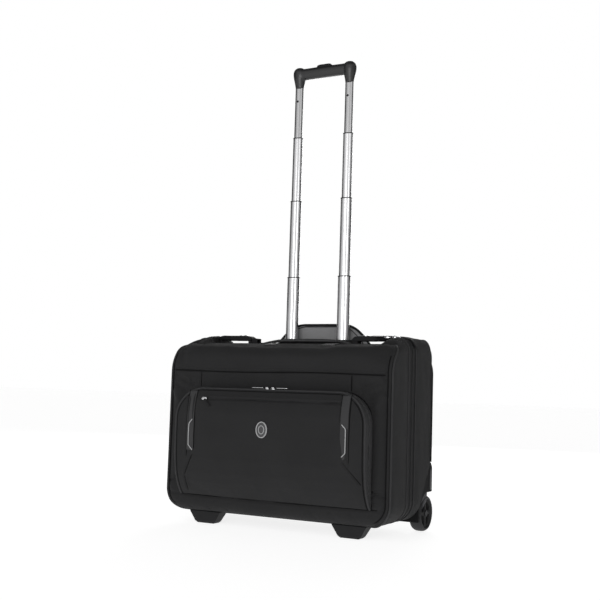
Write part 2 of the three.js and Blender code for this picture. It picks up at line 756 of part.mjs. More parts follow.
// ------------------------------------------------------------------ zip pulls
// A slider that stands on its tape at z = 0, its length along X.
function sliderBody(length = 13) {
  const half = length / 2;
  const plan = polygon([[-half, -3.5], [0, -5], [half, -3.5], [half, 3.5], [0, 5], [-half, 3.5]]);
  const plate = alongZ(plan, 0, 3);
  const bridge = block(-half + 3.5, half - 3.5, -1.5, 1.5, 2.5, 6);
  return joined(plate, bridge);
}

// A pull tab that starts at the origin and runs along +X.
function pullTab(length) {
  return alongZ(roundedRect(0, length, -3.5, 3.5, 3), 0, 1.8, 3);
}

function place(geometry, x, y, z, turnY = 0) {
  return geometry.clone().rotateY(turnY).translate(x, y, z);
}

// ------------------------------------------------------------------ assembly
add('front_shell', frontShell(), FABRIC);
add('front_zip_tape', zipTape(SPLIT_Y - TAPE_HALF + GAP, SPLIT_Y - GAP), TAPE);
add('rear_shell', rearShell(), FABRIC);
add('rear_zip_tape', zipTape(SPLIT_Y + GAP, SPLIT_Y + TAPE_HALF - GAP), TAPE);
add(
  'hinge_spine',
  block(
    -HALF_WIDTH,
    -HALF_WIDTH + TAPE_DEPTH,
    SPLIT_Y - TAPE_HALF + GAP,
    SPLIT_Y + TAPE_HALF - GAP,
    SPINE_Z0 + GAP,
    SPINE_Z1 - GAP,
  ),
  FABRIC,
);
add('pocket_gusset', pocketGusset(), TAPE);
add('pocket_panel', pocketPanel(), FABRIC);
add('badge', badge(), NICKEL);

add('trolley_cover', trolleyCover(), LINING);
add(
  'tube_bracket',
  block(-BRACKET_HALF, BRACKET_HALF, BRACKET_Y0, BRACKET_Y1, BRACKET_BOTTOM, BASE_TUBE.z0 - GAP),
  PLASTIC,
);
add('handle_bezel', bezel(), PLASTIC);
add('arch_flap', archFlap(), LINING);

function backPlate({ half, z0, z1, r, thick }, curveSegments) {
  return alongY(roundedRect(-half, half, z0, z1, r), BACK_Y + GAP, BACK_Y + GAP + thick, curveSegments);
}
add('back_panel', backPlate(BACK_PANEL, 5), FABRIC);
add('kick_plate', backPlate(KICK_PLATE, 3), PLASTIC);
add('carry_handle', carryHandle(), FABRIC);

const SIDES = [['left', -1], ['right', 1]];

for (const [side, sign] of SIDES) {
  const onSide = (geometry) => (sign > 0 ? geometry : mirrored(geometry));
  const x = sign * POST_X;
  add(`wheel_housing_${side}`, onSide(wheelHousing()), PLASTIC);
  add(`axle_${side}`, onSide(axle()), STEEL);
  add(`tyre_${side}`, onSide(tyre()), RUBBER);
  add(`hub_${side}`, onSide(hub()), SATIN_PLASTIC);
  add(`foot_${side}`, foot().translate(sign * FOOT_X, 0, 0), PLASTIC);
  add(`base_tube_${side}`, tube(BASE_TUBE, x, BASE_TUBE.z0, BASE_TUBE.z1, 5), ALUMINIUM);
  add(`tube_a_${side}`, tube(STAGE_A, x, STAGE_A.z0, STAGE_A.rim - LIP), ALUMINIUM);
  add(`tube_b_${side}`, tube(STAGE_B, x, STAGE_B.z0, STAGE_B.rim - LIP), ALUMINIUM);
  add(`tube_c_${side}`, tube(STAGE_C, x, STAGE_C.z0, STAGE_C.rim - LIP), ALUMINIUM);
  add(`tube_d_${side}`, tube(STAGE_D, x, STAGE_D.z0, STAGE_D.z1), ALUMINIUM);
  add(`lip_a_${side}`, lip(STAGE_A, STAGE_B, x), PLASTIC);
  add(`lip_b_${side}`, lip(STAGE_B, STAGE_C, x), PLASTIC);
  add(`lip_c_${side}`, lip(STAGE_C, STAGE_D, x), PLASTIC);
  add(`handle_anchor_${side}`, onSide(handleAnchor()), PLASTIC);
  add(`strap_loop_${side}`, onSide(strapLoop()), PLASTIC);
  add(`end_strap_${side}`, onSide(endStrap()), FABRIC);
  add(`strap_clip_${side}`, onSide(strapClip()), PLASTIC);
}
add('grip_body', gripBody(), SATIN_PLASTIC);
add('grip_button', gripButton(), PLASTIC);

// Main zip: one slider on the flat of the right shoulder, one on its arc.
const TAPE_TOP = SHOULDER_Z + 0.4;
const ARC_TURN = THREE.MathUtils.degToRad(8);
const arcSpot = (radius, turn) => [
  SHOULDER_X + radius * Math.sin(turn),
  SHOULDER_Z - SHOULDER_R + radius * Math.cos(turn),
];
const [arcX, arcZ] = arcSpot(SHOULDER_R + 0.9, ARC_TURN);
add('main_slider_left', place(sliderBody(), 214, SPLIT_Y, TAPE_TOP), NICKEL);
add('main_pull_left', place(mirrored(pullTab(27)), 206.5, SPLIT_Y, TAPE_TOP + 4), NICKEL);
add('main_slider_right', place(sliderBody(), arcX, SPLIT_Y, arcZ, ARC_TURN), NICKEL);
const [pullX, pullZ] = arcSpot(SHOULDER_R + 5, ARC_TURN + 0.16);
add('main_pull_right', place(pullTab(24), pullX, SPLIT_Y, pullZ, ARC_TURN + 0.32), NICKEL);

// Front pocket: two sliders meet at the middle of its top edge.
for (const [side, sign] of SIDES) {
  const slider = place(sliderBody(), 7.5, POCKET_SPLIT_Y, POCKET_TOP + 0.4);
  const pull = place(pullTab(29), 15.5, POCKET_SPLIT_Y, POCKET_TOP + 3.6);
  add(`pocket_slider_${side}`, sign > 0 ? slider : mirrored(slider), NICKEL);
  add(`pocket_pull_${side}`, sign > 0 ? pull : mirrored(pull), NICKEL);
}

// Slip pocket: one slider with a hanging pull, parked at the left end of its zip.
const SLIP_X = -150.5;
const SLIP_Z = 279.5;
function slipSlider() {
  const plate = block(SLIP_X - 6.5, SLIP_X + 6.5, -2, 3, SLIP_Z - 3.5, SLIP_Z + 3.5);
  const pull = block(SLIP_X + 1.5, SLIP_X + 5.5, -3, -0.5, SLIP_Z - 27.5, SLIP_Z - 2.5);
  return joined(plate, pull).translate(0, POCKET_FACE_Y, 0);
}
add('slip_slider', slipSlider(), NICKEL);

export default model;
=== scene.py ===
"""Soft-sided rolling case: the looks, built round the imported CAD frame."""
import math

import bmesh
import bpy
import numpy as np
from mathutils import Matrix, Vector


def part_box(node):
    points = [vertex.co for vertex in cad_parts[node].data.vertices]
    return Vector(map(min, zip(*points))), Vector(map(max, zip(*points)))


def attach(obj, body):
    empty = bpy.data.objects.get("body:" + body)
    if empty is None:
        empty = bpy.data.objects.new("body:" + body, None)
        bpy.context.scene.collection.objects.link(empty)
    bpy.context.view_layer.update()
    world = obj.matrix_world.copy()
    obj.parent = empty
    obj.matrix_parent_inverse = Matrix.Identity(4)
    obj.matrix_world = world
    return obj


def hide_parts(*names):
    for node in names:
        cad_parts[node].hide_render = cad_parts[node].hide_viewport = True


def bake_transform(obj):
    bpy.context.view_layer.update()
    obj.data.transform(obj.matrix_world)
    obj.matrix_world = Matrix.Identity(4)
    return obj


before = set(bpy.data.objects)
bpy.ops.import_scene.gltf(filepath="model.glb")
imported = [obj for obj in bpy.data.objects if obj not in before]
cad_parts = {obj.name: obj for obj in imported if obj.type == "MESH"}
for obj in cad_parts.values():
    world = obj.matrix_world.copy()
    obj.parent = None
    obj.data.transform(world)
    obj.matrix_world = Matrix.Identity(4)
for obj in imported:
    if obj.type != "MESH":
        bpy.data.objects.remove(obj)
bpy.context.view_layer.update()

MM = 0.001
SIDES = (("left", -1), ("right", 1))


def span(node):
    """Lowest and highest corner of a CAD node, in millimetres."""
    low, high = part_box(node)
    return np.array(low) / MM, np.array(high) / MM


# ------------------------------------------------------------------ camera
def make_camera():
    """The camera stands to the right of the case, a little lower than its handle."""
    eye = Vector((1.0532, -1.9801, 0.3062))
    forward = Vector((-0.4685, 0.8788, 0.0911)).normalized()
    roll = math.radians(1.79)
    level = forward.cross(Vector((0, 0, 1))).normalized()
    rise = level.cross(forward)
    right = level * math.cos(roll) + rise * math.sin(roll)
    up = rise * math.cos(roll) - level * math.sin(roll)
    data = bpy.data.cameras.new("camera")
    data.sensor_width = 36
    data.lens = 58.76
    camera = bpy.data.objects.new("camera", data)
    turn = Matrix((right, up, -forward)).transposed().to_4x4()
    camera.matrix_world = Matrix.Translation(eye) @ turn
    bpy.context.scene.collection.objects.link(camera)
    bpy.context.scene.camera = camera


def area_light(name, place, target, size, power):
    data = bpy.data.lights.new(name, "AREA")
    data.shape = "RECTANGLE"
    data.size, data.size_y = size
    data.energy = power
    light = bpy.data.objects.new(name, data)
    light.location = place
    light.rotation_euler = (Vector(target) - Vector(place)).to_track_quat("-Z", "Y").to_euler()
    bpy.context.scene.collection.objects.link(light)


# Direction, half angle in degrees, and how dark: behind on the right, left, overhead, right.
DARK_AREAS = (
    ((0.56, 0.82, 0.05), 42, 1.0),
    ((-0.98, -0.20, 0.05), 52, 1.0),
    ((0.0, 0.10, 1.0), 66, 0.95),
    ((1.0, -0.10, -0.10), 50, 0.60),
)


def world_light():
    """White all round, with soft dark areas that only show in what the case reflects."""
    world = bpy.data.worlds.new("studio")
    world.use_nodes = True
    tree = world.node_tree
    background = tree.nodes["Background"]
    way = tree.nodes.new("ShaderNodeTexCoord").outputs["Generated"]
    total = None
    for direction, wide, strength in DARK_AREAS:
        dot = tree.nodes.new("ShaderNodeVectorMath")
        dot.operation = "DOT_PRODUCT"
        tree.links.new(way, dot.inputs[0])
        dot.inputs[1].default_value = Vector(direction).normalized()
        patch = tree.nodes.new("ShaderNodeMapRange")
        patch.interpolation_type = "SMOOTHSTEP"
        patch.inputs["From Min"].default_value = math.cos(math.radians(wide))
        patch.inputs["From Max"].default_value = math.cos(math.radians(wide * 0.4))
        patch.inputs["To Min"].default_value = 0.0
        patch.inputs["To Max"].default_value = strength
        tree.links.new(dot.outputs["Value"], patch.inputs["Value"])
        if total is None:
            total = patch.outputs[0]
        else:
            join = tree.nodes.new("ShaderNodeMath")
            join.operation = "ADD"
            tree.links.new(total, join.inputs[0])
            tree.links.new(patch.outputs[0], join.inputs[1])
            total = join.outputs[0]
    left = tree.nodes.new("ShaderNodeMath")
    left.operation = "SUBTRACT"
    left.inputs[0].default_value = 1.0
    left.use_clamp = True
    tree.links.new(total, left.inputs[1])
    seen = tree.nodes.new("ShaderNodeMath")
    seen.operation = "MAXIMUM"
    tree.links.new(tree.nodes.new("ShaderNodeLightPath").outputs["Is Camera Ray"], seen.inputs[0])
    tree.links.new(left.outputs[0], seen.inputs[1])
    tree.links.new(seen.outputs[0], background.inputs["Strength"])
    background.inputs["Color"].default_value = (1, 1, 1, 1)
    bpy.context.scene.world = world


def make_studio():
    bpy.context.scene.view_settings.view_transform = "Standard"
    world_light()
    area_light("key", (0.5, -3.2, 0.75), (0, 0, 0.3), (1.8, 1.2), 27)
    area_light("back", (-0.9, 3.2, 1.3), (0, 0, 0.3), (1.8, 1.2), 38)
    bpy.ops.mesh.primitive_plane_add(size=60, location=(0, 0, -0.0005))
    floor = bpy.context.object
    floor.name = "floor"
    floor.data.materials.append(floor_look())


# --------------------------------------------------------------- materials
class Look:
    """A material under construction, with short calls for its nodes."""

    def __init__(self, name):
        self.material = bpy.data.materials.new(name)
        self.material.use_nodes = True
        self.tree = self.material.node_tree
        self.shader = self.tree.nodes["Principled BSDF"]

    def node(self, kind, **settings):
        made = self.tree.nodes.new(kind)
        for key, value in settings.items():
            setattr(made, key, value)
        return made

    def feed(self, socket, value):
        if isinstance(value, bpy.types.NodeSocket):
            self.tree.links.new(value, socket)
        else:
            socket.default_value = value

    def math(self, operation, a, b=0.0):
        made = self.node("ShaderNodeMath", operation=operation)
        self.feed(made.inputs[0], a)
        self.feed(made.inputs[1], b)
        return made.outputs[0]

    def pick(self, choice, when_no, when_yes):
        """when_yes where choice is 1, when_no where it is 0."""
        made = self.node("ShaderNodeMix", data_type="FLOAT")
        self.feed(made.inputs[0], choice)
        self.feed(made.inputs[2], when_no)
        self.feed(made.inputs[3], when_yes)
        return made.outputs[0]

    def tint(self, factor, dark, light):
        made = self.node("ShaderNodeMix", data_type="RGBA")
        self.feed(made.inputs[0], factor)
        made.inputs[6].default_value = (*dark, 1)
        made.inputs[7].default_value = (*light, 1)
        return made.outputs[2]

    def place(self):
        return self.node("ShaderNodeTexCoord").outputs["Object"]

    def noise(self, scale, detail=3.0, stretch=(1, 1, 1)):
        mapping = self.node("ShaderNodeMapping")
        mapping.inputs["Scale"].default_value = stretch
        self.feed(mapping.inputs["Vector"], self.place())
        made = self.node("ShaderNodeTexNoise")
        self.feed(made.inputs["Vector"], mapping.outputs[0])
        made.inputs["Scale"].default_value = scale
        made.inputs["Detail"].default_value = detail
        return made.outputs["Fac"]

    def bump(self, height, distance, strength=1.0, before=None):
        made = self.node("ShaderNodeBump")
        made.inputs["Strength"].default_value = strength
        made.inputs["Distance"].default_value = distance
        self.feed(made.inputs["Height"], height)
        if before is not None:
            self.feed(made.inputs["Normal"], before)
        return made.outputs[0]

    def set(self, **sockets):
        for key, value in sockets.items():
            self.feed(self.shader.inputs[key.replace("_", " ")], value)

    def flat_coordinates(self):
        """Two coordinates in millimetres that lie in the surface, whichever way it faces."""
        place = self.node("ShaderNodeSeparateXYZ")
        self.feed(place.inputs[0], self.place())
        normal = self.node("ShaderNodeSeparateXYZ")
        self.feed(normal.inputs[0], self.node("ShaderNodeTexCoord").outputs["Normal"])
        x, y, z = (self.math("MULTIPLY", place.outputs[i], 1 / MM) for i in range(3))
        nx, ny, nz = (self.math("ABSOLUTE", normal.outputs[i]) for i in range(3))
        faces_x = self.math("GREATER_THAN", nx, self.math("MAXIMUM", ny, nz))
        faces_z = self.math("GREATER_THAN", nz, self.math("MAXIMUM", nx, ny))
        return self.pick(faces_x, x, y), self.pick(faces_z, z, y)

    def weave(self, pitch):
        """Height of a plain weave, from 0 to 1: one thread over, the next one under."""
        u, v = self.flat_coordinates()
        sin_u = self.math("SINE", self.math("MULTIPLY", u, math.pi / pitch))
        sin_v = self.math("SINE", self.math("MULTIPLY", v, math.pi / pitch))
        over = self.math("GREATER_THAN", self.math("MULTIPLY", sin_u, sin_v), 0.0)
        return self.pick(over, self.math("ABSOLUTE", sin_u), self.math("ABSOLUTE", sin_v))


def floor_look():
    """A pale paper sweep, lit a little from within so that it stays as light as the background."""
    look = Look("paper_floor")
    pale = look.tint(look.noise(3.0), (0.46, 0.46, 0.46), (0.44, 0.44, 0.44))
    look.set(Base_Color=pale, Roughness=0.95, Specular_IOR_Level=0.05)
    look.set(Emission_Color=(1, 1, 1, 1), Emission_Strength=0.82)
    return look.material


def fabric_look(name, dark, light, pitch, roughness=0.85, sheen=0.03, depth=0.00025):
    look = Look(name)
    weave = look.weave(pitch)
    patches = look.noise(9.0, 4.0)
    flecks = look.noise(900.0, 2.0)
    mix = look.math("MULTIPLY", weave, 0.45)
    mix = look.math("ADD", mix, look.math("MULTIPLY", patches, 0.35))
    mix = look.math("ADD", mix, look.math("MULTIPLY", flecks, 0.30))
    slub = look.bump(look.noise(160.0, 3.0), 0.0006, 0.35)
    look.set(
        Base_Color=look.tint(mix, dark, light),
        Roughness=roughness,
        Sheen_Weight=sheen,
        Sheen_Roughness=0.5,
        Specular_IOR_Level=0.12,
        Normal=look.bump(weave, depth, 0.55, slub),
    )
    return look.material


def plastic_look(name, color, roughness, grain=1400.0, depth=0.00012, spread=0.12, specular=0.28):
    look = Look(name)
    fine = look.noise(grain, 2.0)
    scuff = look.noise(35.0, 5.0)
    rough = look.math("ADD", look.math("MULTIPLY", scuff, spread), roughness - spread / 2)
    lighter = tuple(c * 1.7 + 0.004 for c in color)
    look.set(
        Base_Color=look.tint(scuff, color, lighter),
        Roughness=rough,
        Specular_IOR_Level=specular,
        Normal=look.bump(fine, depth, 0.5),
    )
    return look.material


def brushed_look(name, color, roughness, stretch=(1, 1, 0.02), depth=0.00004, metallic=1.0):
    look = Look(name)
    lines = look.noise(1500.0, 3.0, stretch)
    smudge = look.noise(14.0, 3.0)
    rough = look.math("ADD", look.math("MULTIPLY", smudge, 0.12), roughness - 0.06)
    look.set(
        Base_Color=look.tint(lines, tuple(c * 0.86 for c in color), color),
        Metallic=metallic,
        Roughness=rough,
        Normal=look.bump(lines, depth, 0.35),
    )
    return look.material


LOOKS = {
    "fabric": (
        fabric_look("ballistic_nylon", (0.007, 0.007, 0.0073), (0.026, 0.026, 0.0268), 1.1), "black_fabric"
    ),
    "webbing": (
        fabric_look("webbing", (0.004, 0.004, 0.0043), (0.015, 0.015, 0.016), 1.6, 0.75), "black_fabric"
    ),
    "piping": (
        fabric_look("piping", (0.018, 0.018, 0.0187), (0.042, 0.042, 0.0435), 0.8, 0.6), "black_fabric"
    ),
    "band": (
        fabric_look("pocket_band", (0.024, 0.024, 0.0248), (0.050, 0.050, 0.0515), 0.9, 0.7), "zip_tape"
    ),
    "tape": (fabric_look("zip_tape", (0.007, 0.007, 0.0074), (0.021, 0.021, 0.022), 0.7, 0.7), "zip_tape"),
    "lining": (fabric_look("lining", (0.030, 0.030, 0.033), (0.055, 0.055, 0.060), 0.5, 0.6), "dark_lining"),
    "flap_lining": (
        fabric_look("flap_lining", (0.15, 0.15, 0.153), (0.27, 0.27, 0.274), 0.8, 0.6), "dark_lining"
    ),
    "thread": (fabric_look("thread", (0.015, 0.015, 0.016), (0.04, 0.04, 0.042), 0.4, 0.6), "black_fabric"),
    "coil": (plastic_look("zip_coil", (0.012, 0.012, 0.013), 0.38), "zip_tape"),
    "plastic": (
        plastic_look("moulded_plastic", (0.0055, 0.0055, 0.006), 0.6, specular=0.18), "black_plastic"
    ),
    "grip": (
        plastic_look("grip_plastic", (0.0045, 0.0045, 0.005), 0.36, 700.0, 0.0001, specular=0.55),
        "satin_plastic",
    ),
    "hub": (plastic_look("hub_plastic", (0.016, 0.016, 0.0165), 0.72, specular=0.1), "satin_plastic"),
    "tyre": (plastic_look("tread", (0.013, 0.013, 0.014), 0.62, 900.0), "tyre_rubber"),
    "aluminium": (
        brushed_look("brushed_aluminium", (0.70, 0.70, 0.71), 0.29, depth=0.00001), "tube_aluminium"
    ),
    "aluminium_thin": (
        brushed_look("brushed_aluminium_thin", (0.47, 0.47, 0.475), 0.27, depth=0.00001), "tube_aluminium"
    ),
    "steel": (brushed_look("axle_steel", (0.045, 0.045, 0.047), 0.6), "axle_steel"),
    "nickel": (brushed_look("nickel", (0.62, 0.62, 0.63), 0.24, (1, 1, 1)), "nickel_zip"),
    "reflective": (
        brushed_look("reflective_trim", (0.36, 0.36, 0.365), 0.5, (1, 1, 1), metallic=0.1), "nickel_zip"
    ),
    # Very dark cords laid in seams, grooves and round the pocket's foot: painted shade in the sewn folds and
    # between the parts.
    "seam": (
        fabric_look("seam_shade_cord", (0.002, 0.002, 0.0021), (0.006, 0.006, 0.0063), 0.7, sheen=0.0),
        "black_fabric",
    ),
    # Several times lighter than the case's fabric: painted light on the carry pad's face.
    "pad": (
        fabric_look("handle_pad_painted_light", (0.040, 0.040, 0.041), (0.085, 0.085, 0.087), 1.0, 0.6), "black_fabric"
    ),
    "pale": (
        fabric_look("pale_webbing", (0.024, 0.024, 0.025), (0.052, 0.052, 0.054), 0.9, 0.6), "black_fabric"
    ),
    "guard": (plastic_look("guard_plastic", (0.0035, 0.0035, 0.0038), 0.7, specular=0.10), "black_plastic"),
    # Plastic many times lighter than the guard's own: painted highlight on the rib at the guard's rear.
    "guard_highlight": (plastic_look("guard_highlight", (0.045, 0.045, 0.047), 0.5), "black_plastic"),
    "badge": (brushed_look("badge_metal", (0.06, 0.06, 0.062), 0.5, (1, 1, 1), metallic=0.3), "nickel_zip"),
    "pale_coil": (plastic_look("pale_coil", (0.055, 0.055, 0.057), 0.35), "zip_tape"),
}


# ------------------------------------------------------------ mesh helpers
def make_piece(name, points, faces, body, look, replaces=(), face_looks=(), flat=False):
    """A mesh in millimetres that rides on a body. face_looks pairs a look with a face mask."""
    mesh = bpy.data.meshes.new(name)
    mesh.from_pydata((np.asarray(points, float) * MM).tolist(), [], [list(map(int, f)) for f in faces])
    made = bpy.data.objects.new(name, mesh)
    bpy.context.scene.collection.objects.link(made)
    material, slot = LOOKS[look]
    mesh.materials.append(material)
    for extra, mask in face_looks:
        mesh.materials.append(LOOKS[extra][0])
        for index in np.nonzero(mask)[0]:
            mesh.polygons[index].material_index = len(mesh.materials) - 1
    mesh.polygons.foreach_set("use_smooth", [not flat] * len(mesh.polygons))
    outward(mesh)
    if body:
        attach(made, body)
    if replaces:
        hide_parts(*replaces)
    return made


def outward(mesh):
    solid = bmesh.new()
    solid.from_mesh(mesh)
    bmesh.ops.recalc_face_normals(solid, faces=solid.faces)
    solid.to_mesh(mesh)
    solid.free()


def sharpen(made, degrees=35):
    """Smooth shading that breaks at edges sharper than the angle."""
    made.data.set_sharp_from_angle(angle=math.radians(degrees))
    return made


def grid_faces(rows, columns, wrap_rows=False, wrap_columns=False):
    r = np.arange(rows if wrap_rows else rows - 1)
    c = np.arange(columns if wrap_columns else columns - 1)
    r, c = np.meshgrid(r, c, indexing="ij")
    r2, c2 = (r + 1) % rows, (c + 1) % columns
    corners = (r * columns + c, r * columns + c2, r2 * columns + c2, r2 * columns + c)
    return np.stack(corners, -1).reshape(-1, 4)


def grid_normals(grid, wrap_rows=False):
    """Unit normals of a grid of points, by differences along both directions."""
    if wrap_rows:
        along = np.roll(grid, -1, 0) - np.roll(grid, 1, 0)
    else:
        along = np.gradient(grid, axis=0)
    normal = np.cross(along, np.gradient(grid, axis=1))
    return normal / np.maximum(np.linalg.norm(normal, axis=-1, keepdims=True), 1e-9)


def slab(grid, thickness, wrap_rows=False):
    """A closed sheet of even thickness behind a grid of points: its points and faces."""
    rows, columns = grid.shape[:2]
    inner = grid - grid_normals(grid, wrap_rows) * thickness
    count = rows * columns
    outer_faces = grid_faces(rows, columns, wrap_rows)
    faces = [outer_faces, outer_faces[:, ::-1] + count]
    index = np.arange(count).reshape(rows, columns)
    borders = [index[:, 0], index[:, -1]]
    if not wrap_rows:
        borders += [index[0], index[-1]]
    for border in borders:
        ahead = np.roll(border, -1) if wrap_rows else border[1:]
        here = border if wrap_rows else border[:-1]
        faces.append(np.stack((here, ahead, ahead + count, here + count), -1))
    return np.concatenate(
        (grid.reshape(-1, 3), inner.reshape(-1, 3))
    ), np.concatenate(faces), len(outer_faces)


def sweep(path, section, ups, closed=False):
    """Carries a section along a path. The section's second axis leans towards ups."""
    path = np.asarray(path, float)
    ups = np.broadcast_to(np.asarray(ups, float), path.shape)
    ahead = np.roll(path, -1, 0) - np.roll(path, 1, 0) if closed else np.gradient(path, axis=0)
    ahead = ahead / np.linalg.norm(ahead, axis=1, keepdims=True)
    side = np.cross(ahead, ups)
    side = side / np.linalg.norm(side, axis=1, keepdims=True)
    lift = np.cross(side, ahead)
    section = np.asarray(section, float)
    if section.ndim == 2:
        section = np.broadcast_to(section, (len(path), *section.shape))
    grid = path[:, None] + side[:, None] * section[..., :1] + lift[:, None] * section[..., 1:]
    rows, columns = grid.shape[:2]
    faces = [list(f) for f in grid_faces(rows, columns, closed, True)]
    if not closed:
        faces += [list(range(columns)), list(range((rows - 1) * columns, rows * columns))]
    return grid.reshape(-1, 3), faces


def circle(radius, count=10, stretch=1.0):
    turn = np.arange(count) * 2 * math.pi / count
    return np.stack((np.cos(turn) * radius * stretch, np.sin(turn) * radius), -1)


def squircle(half_a, half_b, count=32, power=4.0):
    """A rounded rectangle as a superellipse."""
    turn = (np.arange(count) + 0.5) * 2 * math.pi / count
    c, s = np.cos(turn), np.sin(turn)
    reach = (np.abs(c) ** power + np.abs(s) ** power) ** (-1 / power)
    return np.stack((c * reach * half_a, s * reach * half_b), -1)


def rounded_rectangle(half_a, half_b, radius, steps=6):
    turn = np.linspace(0, math.pi / 2, steps + 1)
    corners = []
    for k, (sa, sb) in enumerate(((1, 1), (-1, 1), (-1, -1), (1, -1))):
        angle = turn + k * math.pi / 2
        centre = np.array((sa * (half_a - radius), sb * (half_b - radius)))
        corners.append(centre + radius * np.stack((np.cos(angle), np.sin(angle)), -1))
    return np.concatenate(corners)


def resample(path, step, closed=False):
    """Points at even distances along a path."""
    path = np.asarray(path, float)
    if closed:
        path = np.concatenate((path, path[:1]))
    length = np.concatenate(([0], np.cumsum(np.linalg.norm(np.diff(path, axis=0), axis=1))))
    count = max(int(round(length[-1] / step)), 2)
    marks = np.linspace(0, length[-1], count + 1)
    if closed:
        marks = marks[:-1]
    return np.stack([np.interp(marks, length, path[:, k]) for k in range(path.shape[1])], -1)


def smooth_path(points, step, rounds=3, closed=False):
    """A soft curve through chosen points: corners are cut, then points are spread evenly."""
    path = np.asarray(points, float)
    for _ in range(rounds):
        ahead = np.roll(path, -1, 0)
        low, high = path * 0.75 + ahead * 0.25, path * 0.25 + ahead * 0.75
        if closed:
            path = np.stack((low, high), 1).reshape(-1, path.shape[1])
        else:
            inside = np.stack((low[:-1], high[:-1]), 1).reshape(-1, path.shape[1])
            path = np.concatenate((path[:1], inside[1:-1], path[-1:]))
    return resample(path, step, closed)


def join_parts(parts):
    """Several (points, faces) pairs as one."""
    points, faces, start = [], [], 0
    for part_points, part_faces in parts:
        points.append(np.asarray(part_points, float))
        faces += [[int(i) + start for i in f] for f in part_faces]
        start += len(part_points)
    return np.concatenate(points), faces


def beads(path, ups, length, width, height, pitch, shift=0.0, slant=0.0, closed=False):
    """A row of small lozenges along a path: stitches, or the teeth of a zip."""
    spots = resample(path, pitch, closed)
    ahead = np.roll(spots, -1, 0) - np.roll(spots, 1, 0) if closed else np.gradient(spots, axis=0)
    ahead = ahead / np.linalg.norm(ahead, axis=1, keepdims=True)
    nearest = np.argmin(((spots[:, None] - np.asarray(path)[None]) ** 2).sum(-1), 1)
    lift = np.broadcast_to(np.asarray(ups, float), np.shape(path))[nearest]
    side = np.cross(ahead, lift)
    side = side / np.linalg.norm(side, axis=1, keepdims=True)
    lift = np.cross(side, ahead)
    centre = spots + side * shift
    ahead = ahead + side * slant
    ends = (centre - ahead * length / 2, centre + ahead * length / 2)
    ring = (
        centre - side * width / 2, centre + lift * height, centre + side * width / 2, centre - lift * height
    )
    points = np.stack((ends[0], *ring, ends[1]), 1)
    shape = ((0, 1, 2), (0, 2, 3), (0, 3, 4), (0, 4, 1), (5, 2, 1), (5, 3, 2), (5, 4, 3), (5, 1, 4))
    base = np.arange(len(spots))[:, None, None] * 6
    return points.reshape(-1, 3), (base + np.array(shape)[None]).reshape(-1, 3)


def prism(outline, axis, low, high, bevel=0.0, segments=3):
    """An outline pushed along an axis, with rounded edges: its points and faces."""
    order = {"x": (2, 0, 1), "y": (0, 2, 1), "z": (0, 1, 2)}[axis]
    solid = bmesh.new()
    flat = np.array([[a, b, low] for a, b in outline], float)[:, order]
    face = solid.faces.new([solid.verts.new(p) for p in flat])
    push = np.array((0, 0, high - low), float)[list(order)]
    grown = bmesh.ops.extrude_face_region(solid, geom=[face])
    moved = [g for g in grown["geom"] if isinstance(g, bmesh.types.BMVert)]
    bmesh.ops.translate(solid, verts=moved, vec=push)
    bmesh.ops.recalc_face_normals(solid, faces=solid.faces)
    if bevel:
        sharp = [e for e in solid.edges if e.calc_face_angle(0) > 0.35]
        bmesh.ops.bevel(solid, geom=sharp, offset=bevel, segments=segments, profile=0.5, affect="EDGES")
    points = np.array([v.co for v in solid.verts])
    solid.verts.index_update()
    faces = [[v.index for v in f.verts] for f in solid.faces]
    solid.free()
    return points, faces


def lathe(profile, centre, segments=64):
    """A closed profile of (radius, x) turned about the X axis through a point."""
    profile = np.asarray(profile, float)
    turn = np.arange(segments) * 2 * math.pi / segments
    radius, along = profile[:, 0], profile[:, 1]
    grid = np.stack(
        (
            np.broadcast_to(along, (segments, len(profile))),
            np.cos(turn)[:, None] * radius,
            np.sin(turn)[:, None] * radius,
        ),
        -1,
    )
    return (grid + np.asarray(centre, float)).reshape(-1, 3), grid_faces(segments, len(profile), True, True)


def flip_x(part, sign):
    points, faces = part
    return np.asarray(points, float) * (sign, 1, 1), faces


def smoothstep(value, low, high):
    t = np.clip((value - low) / (high - low), 0, 1)
    return t * t * (3 - 2 * t)


def dent(distance, width, depth):
    """A sewn line: a narrow valley between two soft swellings."""
    d = np.abs(distance) / width
    return depth * (-np.exp(-(d**2)) + 0.35 * np.exp(-((d - 2.6) ** 2) / 2.2))


def line_distance(x, z, start, end):
    """Distance to a segment, and how far inside its ends a point is, from 0 to 1."""
    (x0, z0), (x1, z1) = start, end
    dx, dz = x1 - x0, z1 - z0
    length = math.hypot(dx, dz)
    along = ((x - x0) * dx + (z - z0) * dz) / length**2
    t = np.clip(along, 0, 1)
    distance = np.hypot(x - x0 - t * dx, z - z0 - t * dz)
    return distance, smoothstep(along, -0.02, 0.08) * (1 - smoothstep(along, 0.92, 1.02))


def crease(x, z, start, end, width, depth):
    distance, inside = line_distance(x, z, start, end)
    return depth * inside * np.exp(-((distance / width) ** 2))


def wobble(a, b, seed, size=90.0, height=1.0):
    """Soft unevenness of a padded panel, the same on each run."""
    chance = np.random.RandomState(seed)
    total = np.zeros(np.broadcast(a, b).shape)
    for _ in range(14):
        angle, phase = chance.uniform(0, 2 * math.pi, 2)
        wave = size * chance.uniform(0.5, 1.8)
        total += np.sin((a * math.cos(angle) + b * math.sin(angle)) * 2 * math.pi / wave + phase) / 3.7
    return total * height


